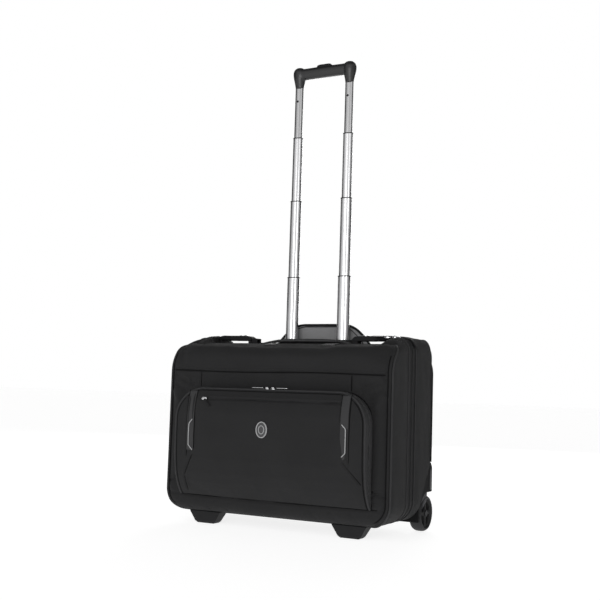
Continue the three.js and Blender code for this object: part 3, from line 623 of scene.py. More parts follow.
# ---------------------------------------------------------- body outlines
FRONT_LOW, FRONT_HIGH = span("front_shell")
REAR_LOW, REAR_HIGH = span("rear_shell")
HALF = FRONT_HIGH[0]
FRONT_Y = FRONT_LOW[1]
BACK_Y = REAR_HIGH[1]
BOTTOM = FRONT_LOW[2]
CREST = FRONT_HIGH[2]
TAPE_LOW, TAPE_HIGH = span("front_zip_tape")
ZIP_Y = TAPE_HIGH[1] + 0.3
CORNER_LOW, CORNER_TOP, FRONT_CORNER = 48.0, 60.0, 20.0
FRONT_ROLL, FRONT_END_ROLL, FRONT_FOOT_ROLL = 36.0, 66.0, 24.0
BACK_ROLL, BACK_FOOT_ROLL = 20.0, 10.0
TOP_FRONT, TOP_BACK = CREST - 17, CREST - 9
TAPE_FRONT_Y, TAPE_BACK_Y = ZIP_Y - 21, ZIP_Y + 20
DIP = 14.0


def arc(cx, cz, radius, start, end, count):
    turn = np.radians(np.linspace(start, end, count, endpoint=False))
    return np.stack((cx + radius * np.cos(turn), cz + radius * np.sin(turn)), -1)


def straight(a, b, count):
    t = np.linspace(0, 1, count, endpoint=False)[:, None]
    return np.asarray(a) * (1 - t) + np.asarray(b) * t


def full_curve(cx, cz, reach, count, power):
    """A quarter of a superellipse, from its side round to its top."""
    turn = np.linspace(0, math.pi / 2, count, endpoint=False)
    c, s = np.cos(turn) ** (2 / power), np.sin(turn) ** (2 / power)
    return np.stack((cx + reach * c, cz + reach * s), -1)


def half_loop(radius, crest, power, dip_run):
    """Right half of the body's outline, from the bottom middle up to the top middle."""
    cx, cz = HALF - radius, crest - radius
    inner = cx - dip_run
    s = np.linspace(0, 1, 12, endpoint=False)
    dip = straight((inner, crest), (inner - DIP, TOP_FRONT), 12)
    dip[:, 1] = crest + (TOP_FRONT - crest) * (s * s * (3 - 2 * s))
    return np.concatenate(
        (
            straight((0, BOTTOM), (HALF - CORNER_LOW, BOTTOM), 44),
            arc(HALF - CORNER_LOW, BOTTOM + CORNER_LOW, CORNER_LOW, -90, 0, 20),
            straight((HALF, BOTTOM + CORNER_LOW), (HALF, cz), 56),
            full_curve(cx, cz, radius, 26, power),
            straight((cx, crest), (inner, crest), 3),
            dip,
            straight((inner - DIP, TOP_FRONT), (0, TOP_FRONT), 40),
            np.array([[0, TOP_FRONT]]),
        )
    )


def full_loop(*shape):
    right = half_loop(*shape)
    left = right[1:-1][::-1] * (-1, 1)
    return np.concatenate((right, left))


FRONT_LOOP = full_loop(FRONT_CORNER, TOP_FRONT, 2.0, 26)
BACK_LOOP = full_loop(CORNER_TOP, TOP_FRONT, 2.0, 1)
SHOULDER_LOOP = full_loop(38.0, CREST, 2.5, 1)
LOOP_TANGENT = np.roll(SHOULDER_LOOP, -1, 0) - np.roll(SHOULDER_LOOP, 1, 0)
LOOP_OUT = np.stack((LOOP_TANGENT[:, 1], -LOOP_TANGENT[:, 0]), -1)
LOOP_OUT /= np.linalg.norm(LOOP_OUT, axis=1, keepdims=True)


def top_at(y):
    run = BACK_Y - BACK_ROLL - (FRONT_Y + FRONT_ROLL)
    return (TOP_BACK - TOP_FRONT) * (y - FRONT_Y - FRONT_ROLL) / run


def rolled(z, top_roll, foot_roll):
    """How far a rolled face lies back from its plane at a height."""
    over = np.clip(z - (TOP_FRONT - top_roll), 0, top_roll)
    under = np.clip(BOTTOM + foot_roll - z, 0, foot_roll)
    back = top_roll - np.sqrt(np.maximum(top_roll**2 - over**2, 0))
    return back + foot_roll - np.sqrt(np.maximum(foot_roll**2 - under**2, 0))


def front_roll_at(x):
    """The top roll of the front is larger towards both ends."""
    return FRONT_ROLL + (FRONT_END_ROLL - FRONT_ROLL) * smoothstep(np.abs(x), 205, 268)


EDGE_ROUND = 6.0
FRONT_INSET = rolled(FRONT_LOOP[:, 1], front_roll_at(FRONT_LOOP[:, 0]), FRONT_FOOT_ROLL)
FRONT_EDGE = FRONT_Y + FRONT_INSET + EDGE_ROUND
BACK_EDGE = BACK_Y - rolled(BACK_LOOP[:, 1], BACK_ROLL, BACK_FOOT_ROLL) - EDGE_ROUND
LOOP_LENGTH = np.concatenate(([0], np.cumsum(np.linalg.norm(np.diff(SHOULDER_LOOP, axis=0), axis=1))))


def lift_at(x, y, z):
    """The top slopes up towards the back, and its front edge sags, most of all in the middle."""
    slope = np.clip(top_at(y), -2, 8) * smoothstep(z, 330, 400)
    middle = 4.5 + 5.5 * (1 - smoothstep(np.abs(x), 100, 150))
    front = (1 - smoothstep(y, -85, -5)) * (1 - smoothstep(np.abs(x), 212, 250))
    return slope - middle * front * smoothstep(z, 368, 409)


def gusset_points(y, swell):
    """Points of the body's side band. y and swell hold one row per loop point."""
    edge = FRONT_EDGE[:, None]
    rise = (np.clip((y - edge) / (ZIP_Y - 8 - edge), 0, 1) ** 0.9)[..., None]
    fall = smoothstep(y, BACK_EDGE[:, None] - 12, BACK_EDGE[:, None])[..., None]
    xz = FRONT_LOOP[:, None] * (1 - rise) + SHOULDER_LOOP[:, None] * rise
    xz = xz * (1 - fall) + BACK_LOOP[:, None] * fall
    inner = smoothstep(y, 45, 95) * (1 - smoothstep(np.abs(xz[..., 0]), 243, 262))
    xz[..., 1] -= np.maximum(xz[..., 1] - TOP_FRONT, 0) * inner
    x = xz[..., 0] + LOOP_OUT[:, None, 0] * swell
    z = xz[..., 1] + LOOP_OUT[:, None, 1] * swell + lift_at(xz[..., 0], y, xz[..., 1])
    return np.stack((x, y, z), -1)


def gusset(start, end, columns, seed, swell=2.5, sink=1.2):
    """Side band between two edges, softly swollen between them."""
    t = np.linspace(0, 1, columns)
    t = t - 0.06 * np.sin(2 * math.pi * t)
    y = start[:, None] * (1 - t) + end[:, None] * t
    round_off = np.clip(np.sin(math.pi * t), 0, 1) ** 0.6
    puff = swell * round_off - sink + wobble(LOOP_LENGTH[:, None], y * 2, seed, 120, 0.6) * round_off
    return gusset_points(y, puff)


def loop_line(y, swell=0.0):
    """A line round the body at the given y, with its outward directions."""
    y = np.broadcast_to(np.asarray(y, float), (len(BACK_LOOP),))
    points = gusset_points(y[:, None], np.full((len(y), 1), float(swell)))[:, 0]
    outs = np.stack((LOOP_OUT[:, 0], np.zeros(len(y)), LOOP_OUT[:, 1]), -1)
    return points, outs


def off_hinge(points, margin=1.0):
    """True where a point round the body isn't at the fabric hinge on the left."""
    low, high = span("hinge_spine")
    beside = (points[:, 2] > low[2] - margin) & (points[:, 2] < high[2] + margin)
    return ~((points[:, 0] < -HALF + 20) & beside)


def open_order(points):
    """Indices of the loop without the stretch at the hinge, in running order."""
    keep = off_hinge(points)
    start = int(np.nonzero(~keep)[0].max()) + 1
    order = (np.arange(len(points)) + start) % len(points)
    return order[keep[order]]


# ------------------------------------------------------------- body shells
def panel_half(z, corner):
    """Half width of the body's front or back at a height."""
    low = np.clip(BOTTOM + CORNER_LOW - z, 0, CORNER_LOW)
    high = np.clip(z - (TOP_FRONT - corner), 0, corner)
    foot = CORNER_LOW - np.sqrt(CORNER_LOW**2 - low**2)
    return HALF - foot - (corner - np.sqrt(corner**2 - high**2))


def panel_rows(foot_roll, top_roll, step=2.6):
    """How far back, how high and how far past the rolls the rows of a panel lie."""
    def quarter(radius, count):
        return np.linspace(0, math.pi / 2, max(count, 5))

    foot = quarter(foot_roll, int(foot_roll * 1.57 / step))
    top = quarter(top_roll, int(top_roll * 1.57 / step))
    low, high = BOTTOM + foot_roll, TOP_FRONT - top_roll
    climb = np.linspace(low, high, int((high - low) / step))[1:-1]
    margin = np.linspace(1, 0, 5)[:-1]
    depth = np.concatenate(
        (
            np.full(4, foot_roll),
            foot_roll * (1 - np.sin(foot)),
            climb * 0,
            top_roll * (1 - np.cos(top)),
            np.full(4, top_roll),
        )
    )
    height = np.concatenate(
        (
            np.full(4, BOTTOM),
            BOTTOM + foot_roll * (1 - np.cos(foot)),
            climb,
            high + top_roll * np.sin(top),
            np.full(4, TOP_FRONT),
        )
    )
    past = np.concatenate((margin, foot * 0, climb * 0, top * 0, margin[::-1]))
    return depth, height, past


def panel_grid(face_y, inward, foot_roll, top_roll, corner, end_roll=None, columns=200):
    """Front or back of the body as a grid, with rounded edges; and each point's distance from an edge."""
    depth, height, past = panel_rows(foot_roll, top_roll)
    t = np.linspace(-1, 1, columns)
    s = np.sign(t) * (1 - (1 - np.abs(t)) ** 1.35)
    half = panel_half(height, corner)[:, None]
    x = s * half
    if end_roll:
        depth = rolled(height[:, None], front_roll_at(x), foot_roll)
    else:
        depth = np.broadcast_to(depth[:, None], x.shape)
    edge = half - np.abs(x)
    turn = np.clip(1 - edge / EDGE_ROUND, 0, 1)
    turned = 1 - np.sqrt(1 - turn**2)
    back = depth + EDGE_ROUND * np.maximum(turned, past[:, None])
    y = face_y + inward * back
    z = np.broadcast_to(height[:, None], x.shape)
    middle = depth[:, columns // 2] + past * EDGE_ROUND
    run = np.concatenate(([0], np.cumsum(np.hypot(np.diff(middle), np.diff(height)))))
    to_end = np.minimum(run, run[-1] - run)[:, None]
    grid = np.stack((x, y, z + lift_at(x, y, z)), -1)
    return grid, np.minimum(edge, to_end), run


def displaced(grid, height):
    return grid + grid_normals(grid) * height[..., None]


def in_pocket(x, z, margin):
    """1 behind the pocket, 0 outside it."""
    inside = smoothstep(pocket_half(z) + margin - np.abs(x - POCKET_MID), 0, 10)
    return inside * smoothstep(z, POCKET_LOW - margin, POCKET_LOW - margin + 8) * (
        1 - smoothstep(z, POCKET_TOP + margin - 8, POCKET_TOP + margin)
    )


POCKET_BOX = span("pocket_gusset")
POCKET_HALF = POCKET_BOX[1][0]
POCKET_LOW, POCKET_TOP = POCKET_BOX[0][2], POCKET_BOX[1][2]
POCKET_SPLIT = POCKET_BOX[0][1] - 0.3
POCKET_CORNER = 67.0
POCKET_MID = 4.5


def pocket_half(z):
    high = np.clip(z - (POCKET_TOP - POCKET_CORNER), 0, POCKET_CORNER)
    return POCKET_HALF - POCKET_CORNER + np.sqrt(POCKET_CORNER**2 - high**2)


FRONT_SEAM_Z = 342.0
FOOT_SEAM_Z = 63.0


def front_relief(x, z, edge):
    """How far the front panel stands off its flat shape: padding, sewn lines, puckers."""
    across = np.cos(np.clip(x / HALF, -1, 1) * math.pi / 2)
    relief = 3.4 * (1 - np.exp(-edge / 13)) - 1.4 - 1.6 * np.exp(-(((edge - 9) / 4) ** 2))
    above = smoothstep(z, FRONT_SEAM_Z, FRONT_SEAM_Z + 22) * (1 - smoothstep(z, 392, 407))
    relief = relief + 3.0 * above * across**0.3
    beside = smoothstep(np.abs(x), POCKET_HALF - 4, POCKET_HALF + 16) * (
        1 - smoothstep(np.abs(x), HALF - 24, HALF - 8)
    )
    relief = relief + 5.0 * beside * smoothstep(z, 90, 120) * (1 - smoothstep(z, 300, 325))
    relief = relief + 2.2 * np.exp(-(((z - 46) / 13) ** 2)) * across**0.3
    relief = relief + wobble(x, z, 11, 130, 0.8) * np.clip(edge / 25, 0, 1)
    for line, depth in ((FRONT_SEAM_Z, 2.8), (FRONT_SEAM_Z + 5.5, 0.9)):
        seam = dent(z - line - 1.2 * np.sin(x / 60), 1.7, depth)
        relief = relief + seam * (np.abs(x) < 264) * smoothstep(edge, 4, 14)
    relief = relief + dent(z - FOOT_SEAM_Z - 2.5 * (x / HALF) ** 2, 2.2, 1.6) * smoothstep(edge, 3, 14)
    for seam_x in (-189, 186):
        inside = smoothstep(z, 304, 310) * (1 - smoothstep(z, 338, 341))
        relief = relief + dent(x - seam_x, 1.7, 2.0) * inside
    for sign in (-1, 1):
        # Cloth gathers below the ends of the seam and pulls in lines towards the pocket's corners.
        relief = relief + crease(x, z, (sign * 264, 336), (sign * 205, 309), 7, -4.6)
        relief = relief + crease(x, z, (sign * 262, 316), (sign * 222, 292), 7, -3.4)
        relief = relief + crease(x, z, (sign * 258, 334), (sign * 218, 322), 6, 3.6)
        relief = relief + crease(x, z, (sign * 266, 298), (sign * 240, 270), 8, 2.8)
        relief = relief + crease(x, z, (sign * 233, 104), (sign * 270, 90), 2.4, -3.4)
        relief = relief + crease(x, z, (sign * 242, 92), (sign * 262, 72), 9, 3.0)
        relief = relief + crease(x, z, (sign * 250, 392), (sign * 238, 352), 9, -1.5)
        for k in range(4):
            start = (sign * (232 - 47 * k), 60 + 2 * (k % 2))
            relief = relief + crease(x, z, start, (start[0] + sign * 24, 36), 5, -1.3)
    return relief * (1 - 0.75 * in_pocket(x, z, 2))


def on_front(x, z):
    """Points of the front panel's own surface, without its seams."""
    roll = front_roll_at(x)
    edge = panel_half(z, FRONT_CORNER) - np.abs(x)
    y = FRONT_Y + rolled(z, roll, FRONT_FOOT_ROLL) - 2.0 * (1 - np.exp(-edge / 13))
    return np.stack((x, y, z + lift_at(x, y, z)), -1)


def make_front_seams():
    """Sewn lines on the front panel, each a fold of cloth with a very dark cord laid in it as painted shade.
    """
    x = np.linspace(-262, 262, 220)
    z = FRONT_SEAM_Z + 1.2 * np.sin(x / 60)
    parts = [sweep(on_front(x, z) + (0, -0.6, 0), circle(1.0, 8), (0, -1, 0))]
    stitches = [beads(on_front(x, z + 5.5) + (0, -2.6, 0), (0, -1, 0), 2.4, 0.8, 0.4, 3.6)]
    x = np.linspace(-250, 250, 200)
    foot = on_front(x, FOOT_SEAM_Z + 2.5 * (x / HALF) ** 2)
    parts.append(sweep(foot + (0, 1.3, 0), circle(0.8, 8), (0, -1, 0)))
    for seam_x in (-189, 186):
        z = np.linspace(306, 339, 20)
        parts.append(sweep(on_front(np.full(20, float(seam_x)), z) + (0, 0.4, 0), circle(0.9, 8), (0, -1, 0)))
    make_piece("front_seam_shade_cords", *join_parts(parts), "front_case", "seam")
    make_piece("front_stitches", *join_parts(stitches), "front_case", "thread")


def make_front_shell():
    grid, edge, _ = panel_grid(FRONT_Y, 1, FRONT_FOOT_ROLL, FRONT_ROLL, FRONT_CORNER, True)
    relief = front_relief(grid[..., 0], grid[..., 2], edge)
    outer = displaced(grid, outward_sign(grid, (0, -1, 0)) * relief)
    points, faces, count = slab(outer, 2.2 * outward_sign(grid, (0, -1, 0)))
    make_piece("front_panel", points, faces, "front_case", "fabric", ["front_shell"], lined(faces, count))
    band = gusset(FRONT_EDGE, np.full(len(BACK_LOOP), TAPE_FRONT_Y), 26, 21)
    points, faces, count = slab(band, 2.0 * outward_sign(band, None), wrap_rows=True)
    make_piece("front_gusset", points, faces, "front_case", "fabric", ["front_shell"], lined(faces, count))
    make_front_seams()
    make_lining("front_lining", FRONT_Y, 1, ZIP_Y - 4.5, "front_case")


def outward_sign(grid, towards):
    """+1 if the grid's own normals point outwards already, else -1."""
    normal = grid_normals(grid)
    if towards is None:
        towards = grid - grid.reshape(-1, 3).mean(0)
        towards[..., 1] = 0
    return 1.0 if float((normal * towards).sum()) > 0 else -1.0


def lined(faces, outer_count):
    """The inner side of a sheet shows the lining."""
    mask = np.zeros(len(faces), bool)
    mask[outer_count : 2 * outer_count] = True
    return [("lining", mask)]


def make_lining(name, face_y, inward, rim_y, body):
    """A loose cloth tray inside one half, a few millimetres off the shell."""
    front = inward > 0
    edge = (FRONT_EDGE if front else BACK_EDGE) + inward * 4
    share = np.linspace(0, 1, 16)
    rim = edge[:, None] * (1 - share) + rim_y * share
    sag = 0.5 * wobble(LOOP_LENGTH[:, None], rim, 31, 60)
    wall = gusset_points(rim, sag - 5.4)
    ring = wall[:, 0]
    middle = np.array((0, 0, 215.0))
    radii = np.linspace(0.0008, 1, 26)[:, None, None]
    bed = middle + (ring[None] - middle) * radii
    x, z = bed[..., 0], bed[..., 2]
    top_roll = front_roll_at(x) if front else BACK_ROLL
    depth = rolled(np.minimum(z + 5, TOP_FRONT), top_roll, FRONT_FOOT_ROLL if front else BACK_FOOT_ROLL)
    flat = face_y + inward * (6 + depth) + wobble(x, z, 33, 110, 0.5)
    share = radii[..., 0] ** 10
    bed[..., 1] = flat * (1 - share) + ring[None, :, 1] * share
    sheet = np.concatenate((bed.transpose(1, 0, 2), wall[:, 1:]), 1)
    points, faces, _ = slab(sheet, 0.8 * outward_sign(wall, None), wrap_rows=True)
    make_piece(name, points, faces, body, "lining")


def in_well(points):
    """Where the rear corners are cut away for the wheels and their housings."""
    side = np.abs(points[..., 0]) > HOUSING_LOW[0] - 1
    y, z = points[..., 1], points[..., 2]
    line_y, line_z = GUARD_LINE[:, 0], GUARD_LINE[:, 1]
    below = z < np.interp(y, line_y, line_z)
    return side & below & (y > line_y[0])


HOUSING_LOW, HOUSING_HIGH = span("wheel_housing_right")
GUARD_LINE = np.array(((66.0, 66.0), (78.0, 86.0), (122.0, 147.0), (134.0, 152.0)))


def make_rear_shell():
    band = gusset(np.full(len(BACK_LOOP), TAPE_BACK_Y), BACK_EDGE, 34, 22)
    points, faces, count = slab(band, 2.0 * outward_sign(band, None), wrap_rows=True)
    keep = ~in_well(points[faces].mean(1))
    looks = [(look, mask[keep]) for look, mask in lined(faces, count)]
    make_piece("rear_gusset", points, faces[keep], "rear_case", "fabric", ["rear_shell"], looks)
    grid, edge, _ = panel_grid(BACK_Y, -1, BACK_FOOT_ROLL, BACK_ROLL, CORNER_TOP, None, 150)
    relief = 2.4 * (1 - np.exp(-edge / 12)) - 1.6 + wobble(grid[..., 0], grid[..., 2], 13, 150, 0.5)
    sign = outward_sign(grid, (0, 1, 0))
    outer = displaced(grid, sign * relief)
    points, faces, count = slab(outer, 2.2 * sign)
    keep = ~in_well(points[faces].mean(1))
    looks = [(look, mask[keep]) for look, mask in lined(faces, count)]
    make_piece("back_sheet", points, faces[keep], "rear_case", "fabric", ["rear_shell"], looks)
    make_lining("rear_lining", BACK_Y, -1, ZIP_Y + 4.5, "rear_case")


def make_piping():
    """Cords sewn into the edges of both halves, and thin welts beside the zip."""
    section = circle(2.0, 10)
    over_top = smoothstep(FRONT_LOOP[:, 1], TOP_FRONT - 12, TOP_FRONT)
    points, outs = loop_line(FRONT_EDGE, 0.6)
    points = points - outs * (over_top * 3.4)[:, None]
    make_piece("front_piping", *sweep(points, section, outs, closed=True), "front_case", "piping")
    # A very dark cord in the groove just inside the front piping, down the sides: painted shade in that
    # groove.
    inset = FRONT_LOOP - LOOP_OUT * 7.5
    y = FRONT_Y + rolled(inset[:, 1], front_roll_at(inset[:, 0]), FRONT_FOOT_ROLL) - 0.2
    groove = np.stack((inset[:, 0], y, inset[:, 1] + lift_at(inset[:, 0], y, inset[:, 1])), -1)
    sides = groove[:, 2] < 385
    start = int(np.nonzero(~sides)[0].max()) + 1
    order = (np.arange(len(groove)) + start) % len(groove)
    groove = groove[order[sides[order]]]
    make_piece("front_groove_shade_cord", *sweep(groove, circle(1.1, 8), (0, -1, 0)), "front_case", "seam")
    points, outs = loop_line(BACK_EDGE, 0.4)
    order = order_off_well(points)
    make_piece("rear_piping", *sweep(points[order], section, outs[order]), "rear_case", "webbing")
    for name, y, body in (
        ("front_welt", TAPE_FRONT_Y, "front_case"), ("rear_welt", TAPE_BACK_Y, "rear_case")
    ):
        points, outs = loop_line(y, -0.2)
        make_piece(name, *sweep(points, circle(1.5, 8), outs, closed=True), body, "piping")
    points, outs = loop_line(BACK_EDGE - 8, 0.6)
    order = order_off_well(points)
    make_piece("rear_edge_welt", *sweep(points[order], circle(1.0, 8), outs[order]), "rear_case", "piping")


def order_off_well(points):
    """The loop as one open path between the two wheel housings, over the top."""
    keep = ~in_well(points + (0, 0, -1.5)) & (points[:, 2] > 60)
    start = int(np.nonzero(~keep)[0].max()) + 1
    order = (np.arange(len(points)) + start) % len(points)
    return order[keep[order]]


def make_zip_band():
    """The two tapes of the main zip, with their coil and stitching; they stop short of the fabric hinge on
    the left.
    """
    line, _ = loop_line(ZIP_Y)
    order = open_order(line)
    halves = (
        ("front", TAPE_FRONT_Y, ZIP_Y - 0.5, "front_case", -1),
        ("rear", ZIP_Y + 0.5, TAPE_BACK_Y, "rear_case", 1),
    )
    for name, start, end, body, sign in halves:
        y = np.repeat(np.linspace(start, end, 9)[None], len(BACK_LOOP), 0)
        near = np.abs(y - ZIP_Y)
        band = gusset_points(y, -1.6 + 0.8 * np.exp(-((near / 5) ** 2)))[order]
        points, faces, _ = slab(band, 1.4 * outward_sign(band, None))
        make_piece(f"{name}_tape", points, faces, body, "tape", [f"{name}_zip_tape"])
        path, outs = loop_line(ZIP_Y + sign * 1.5, -0.3)
        make_piece(f"{name}_coil", *swap_teeth(path[order], outs[order], sign), body, "coil")
        stitch_path, outs = loop_line(ZIP_Y + sign * 17.5, -0.9)
        make_piece(
            f"{name}_tape_stitch", *beads(stitch_path[order], outs[order], 2.4, 0.7, 0.4, 3.4), body, "thread"
        )


def swap_teeth(path, outs, sign):
    """Zip teeth: short cords across the line of the zip."""
    spots = resample(path, 1.9)
    nearest = np.argmin(((spots[:, None] - path[None]) ** 2).sum(-1), 1)
    lift = outs[nearest]
    ahead = np.gradient(spots, axis=0)
    ahead /= np.linalg.norm(ahead, axis=1, keepdims=True)
    side = np.cross(ahead, lift)
    reach = 1.7
    ends = (spots - side * reach, spots + side * reach)
    ring = (spots - ahead * 0.7, spots + lift * 0.9, spots + ahead * 0.7, spots - lift * 0.9)
    points = np.stack((ends[0], *ring, ends[1]), 1)
    shape = ((0, 1, 2), (0, 2, 3), (0, 3, 4), (0, 4, 1), (5, 2, 1), (5, 3, 2), (5, 4, 3), (5, 1, 4))
    base = np.arange(len(spots))[:, None, None] * 6
    return points.reshape(-1, 3), (base + np.array(shape)[None]).reshape(-1, 3)


def make_spine():
    """The stretch of fabric on the left that the front half turns on."""
    low, high = span("hinge_spine")
    y = np.linspace(TAPE_FRONT_Y, TAPE_BACK_Y, 33)
    z = np.linspace(low[2] - 3, high[2] + 3, 110)
    zz, yy = np.meshgrid(z, y, indexing="ij")
    ribs = 0.35 * np.cos((yy - ZIP_Y) * 2 * math.pi / 6.5)
    xx = -HALF + 0.9 + ribs + wobble(zz, yy, 41, 60, 0.25)
    sheet = np.stack((xx, yy, zz), -1)
    points, faces, _ = slab(sheet, 1.8 * outward_sign(sheet, (-1, 0, 0)))
    spine = make_piece("spine", points, faces, None, "fabric")
    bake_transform(spine)
    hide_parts("hinge_spine")


# ------------------------------------------------------------ front pocket
RIM_Z = np.array((66.0, 74, 84, 98, 118, 150, 200, 250, 272, 286, 296, 303))
RIM_DEPTH = np.array((8.5, 15.0, 21.5, 28.5, 35.0, 39.5, 41.5, 41.0, 39.0, 36.5, 33.5, 30.5))


def pocket_piece(name, points, *rest):
    """A piece of the pocket, which sits a little right of the middle."""
    return make_piece(name, points + (POCKET_MID, 0, 0), *rest)


def split_y(z):
    """The pocket's zip lies at mid depth, and runs in towards the body at its lower ends."""
    return FRONT_Y - np.interp(z, (66, 84, 104), (4.5, 12.0, FRONT_Y - POCKET_SPLIT))


def flap_y(x, z):
    """The pocket's outer face: it bulges in the middle and leans back at both ends."""
    depth = np.interp(z, RIM_Z, RIM_DEPTH)
    across = 1 - np.clip(np.abs(x) / pocket_half(z), 0, 1) ** 2.4
    crown = 6.5 * smoothstep(z, 70, 150) * (1 - smoothstep(z, 250, 303)) * across
    return FRONT_Y - depth - crown


SLIP_Z = 280.5
BANDS = {-1: (-199.0, -181.0), 1: (178.5, 196.5)}
BRACKETS = {
    -1: ((-184.5, 234), (-192.5, 225.5), (-193.5, 221.5), (-194, 180), (-193, 176), (-183, 166.5)),
    1: ((182, 237.5), (190.5, 229), (191, 225), (191, 183), (190.5, 179), (182.5, 171.5)),
}
FLAP_SEAMS = (
    ((182, 163), (224, 117)),
    ((-183, 158), (-208, 110)),
    ((-208, 110), (-207, 76)),
    ((177, 299), (178, 240)),
    ((198, 299), (198, 150)),
    ((-180, 299), (-180, 165)),
    ((-201, 299), (-199, 150)),
)


def flap_relief(x, z, edge):
    relief = 1.4 * (1 - np.exp(-edge / 9)) - 0.4 + wobble(x, z, 51, 120, 0.6) * np.clip(edge / 25, 0, 1)
    slip = smoothstep(x, -172, -166) * (1 - smoothstep(x, 180, 185))
    relief = relief - 2.6 * slip * np.exp(-(((z - SLIP_Z) / 1.8) ** 2))
    relief = relief + 0.9 * slip * np.exp(-(((z - SLIP_Z - 4.5) / 2.5) ** 2))
    for start, end in FLAP_SEAMS:
        distance, inside = line_distance(x, z, start, end)
        relief = relief + dent(distance, 1.7, 2.2) * inside
    for sign in (-1, 1):
        relief = relief + crease(x, z, (sign * 205, 96), (sign * 150, 74), 8, -1.2)
        relief = relief + crease(x, z, (sign * 90, 78), (sign * 30, 92), 12, -0.8)
    return relief


def pocket_path(low, step=2.6):
    """The pocket's outline from the lower left, over the top, to the lower right, with outward directions."""
    side = np.arange(low, POCKET_TOP - POCKET_CORNER, step)
    turn = np.linspace(0, math.pi / 2, 36)
    corner_x = POCKET_HALF - POCKET_CORNER
    corner_z = POCKET_TOP - POCKET_CORNER
    right = np.concatenate(
        (
            np.stack((np.full(len(side), POCKET_HALF), side, np.ones(len(side)), side * 0), -1),
            np.stack(
                (
                    corner_x + POCKET_CORNER * np.cos(turn),
                    corner_z + POCKET_CORNER * np.sin(turn),
                    np.cos(turn),
                    np.sin(turn),
                ),
                -1,
            ),
        )
    )
    across = np.linspace(corner_x, 0, 60)[1:]
    right = np.concatenate((right, np.stack((across, np.full(59, POCKET_TOP), across * 0, np.ones(59)), -1)))
    left = right[:-1] * (-1, 1, -1, 1)
    return np.concatenate((left, right[::-1]))


def make_pocket():
    rows = np.concatenate(
        (np.linspace(POCKET_LOW, 236, 64)[:-1], 236 + POCKET_CORNER * np.sin(np.linspace(0, math.pi / 2, 34)))
    )
    rows[-1] = POCKET_TOP - 0.02
    t = np.linspace(-1, 1, 190)
    s = np.sign(t) * (1 - (1 - np.abs(t)) ** 1.3)
    half = pocket_half(rows)[:, None]
    x = s * half
    z = np.broadcast_to(rows[:, None], x.shape)
    edge = np.minimum(half - np.abs(x), np.minimum(z - POCKET_LOW, POCKET_TOP - z) + 1.0)
    y = flap_y(x, z)
    turn = np.clip(1 - (half - np.abs(x)) / 5, 0, 1)
    y = y + 3.0 * (1 - np.sqrt(1 - turn**2))
    grid = np.stack((x, y, z), -1)
    sign = outward_sign(grid, (0, -1, 0))
    outer = displaced(grid, sign * flap_relief(x, z, edge))
    points, faces, count = slab(outer, 2.2 * sign)
    face = pocket_piece(
        "pocket_face", points, faces, "pocket_flap", "fabric", ["pocket_panel"], lined(faces, count)
    )
    make_pocket_wall()
    make_pocket_gusset()
    make_pocket_trim()


def rim_y(path):
    """Y of the flap's outer edge along its outline."""
    return flap_y(path[:, 0] * 0.999, np.minimum(path[:, 1], POCKET_TOP - 0.02)) + 3.0


def ring_sheet(path, y_from, y_to, columns, swell, seed):
    """A band that stands on the pocket's outline between two depths."""
    t = np.linspace(0, 1, columns)
    y = y_from[:, None] * (1 - t) + y_to[:, None] * t
    puff = swell * np.sin(math.pi * t) + 0.2 * wobble(np.arange(len(path))[:, None] * 2.6, y, seed, 60)
    x = path[:, None, 0] + path[:, None, 2] * puff
    z = path[:, None, 1] + path[:, None, 3] * puff
    return np.stack((x, y, z), -1)


def make_pocket_wall():
    path = pocket_path(POCKET_LOW)
    sheet = ring_sheet(path, rim_y(path), split_y(path[:, 1]) - 0.5, 11, 1.0, 61)
    points, faces, count = slab(sheet, 2.0 * outward_sign(sheet, None))
    pocket_piece("pocket_wall", points, faces, "pocket_flap", "band", ["pocket_panel"], lined(faces, count))
    foot_x = np.linspace(-POCKET_HALF, POCKET_HALF, 120)
    foot_y = np.linspace(0, 1, 5)
    low_y = flap_y(foot_x, np.full(120, POCKET_LOW))
    y = low_y[:, None] * (1 - foot_y) + (split_y(POCKET_LOW) - 0.5) * foot_y
    foot = np.stack((np.repeat(foot_x[:, None], 5, 1), y, np.full(y.shape, POCKET_LOW + 0.2)), -1)
    points, faces, _ = slab(foot, 1.6 * outward_sign(foot, (0, 0, -1)))
    pocket_piece("pocket_foot", points, faces, "pocket_flap", "fabric", ["pocket_panel"])


def make_pocket_gusset():
    path = pocket_path(POCKET_LOW)
    sheet = ring_sheet(path, split_y(path[:, 1]) + 0.5, np.full(len(path), FRONT_Y + 1), 10, 1.0, 62)
    points, faces, count = slab(sheet, 2.0 * outward_sign(sheet, None))
    pocket_piece("pocket_side", points, faces, "front_case", "band", ["pocket_gusset"], lined(faces, count))
    x = np.linspace(-POCKET_HALF, POCKET_HALF, 120)
    y = np.linspace(split_y(POCKET_LOW) + 0.5, FRONT_Y + 1, 8)
    xx, yy = np.meshgrid(x, y, indexing="ij")
    foot = np.stack((xx, yy, np.full(xx.shape, POCKET_LOW)), -1)
    points, faces, _ = slab(foot, 1.8 * outward_sign(foot, (0, 0, -1)))
    pocket_piece("pocket_side_foot", points, faces, "front_case", "fabric", ["pocket_gusset"])


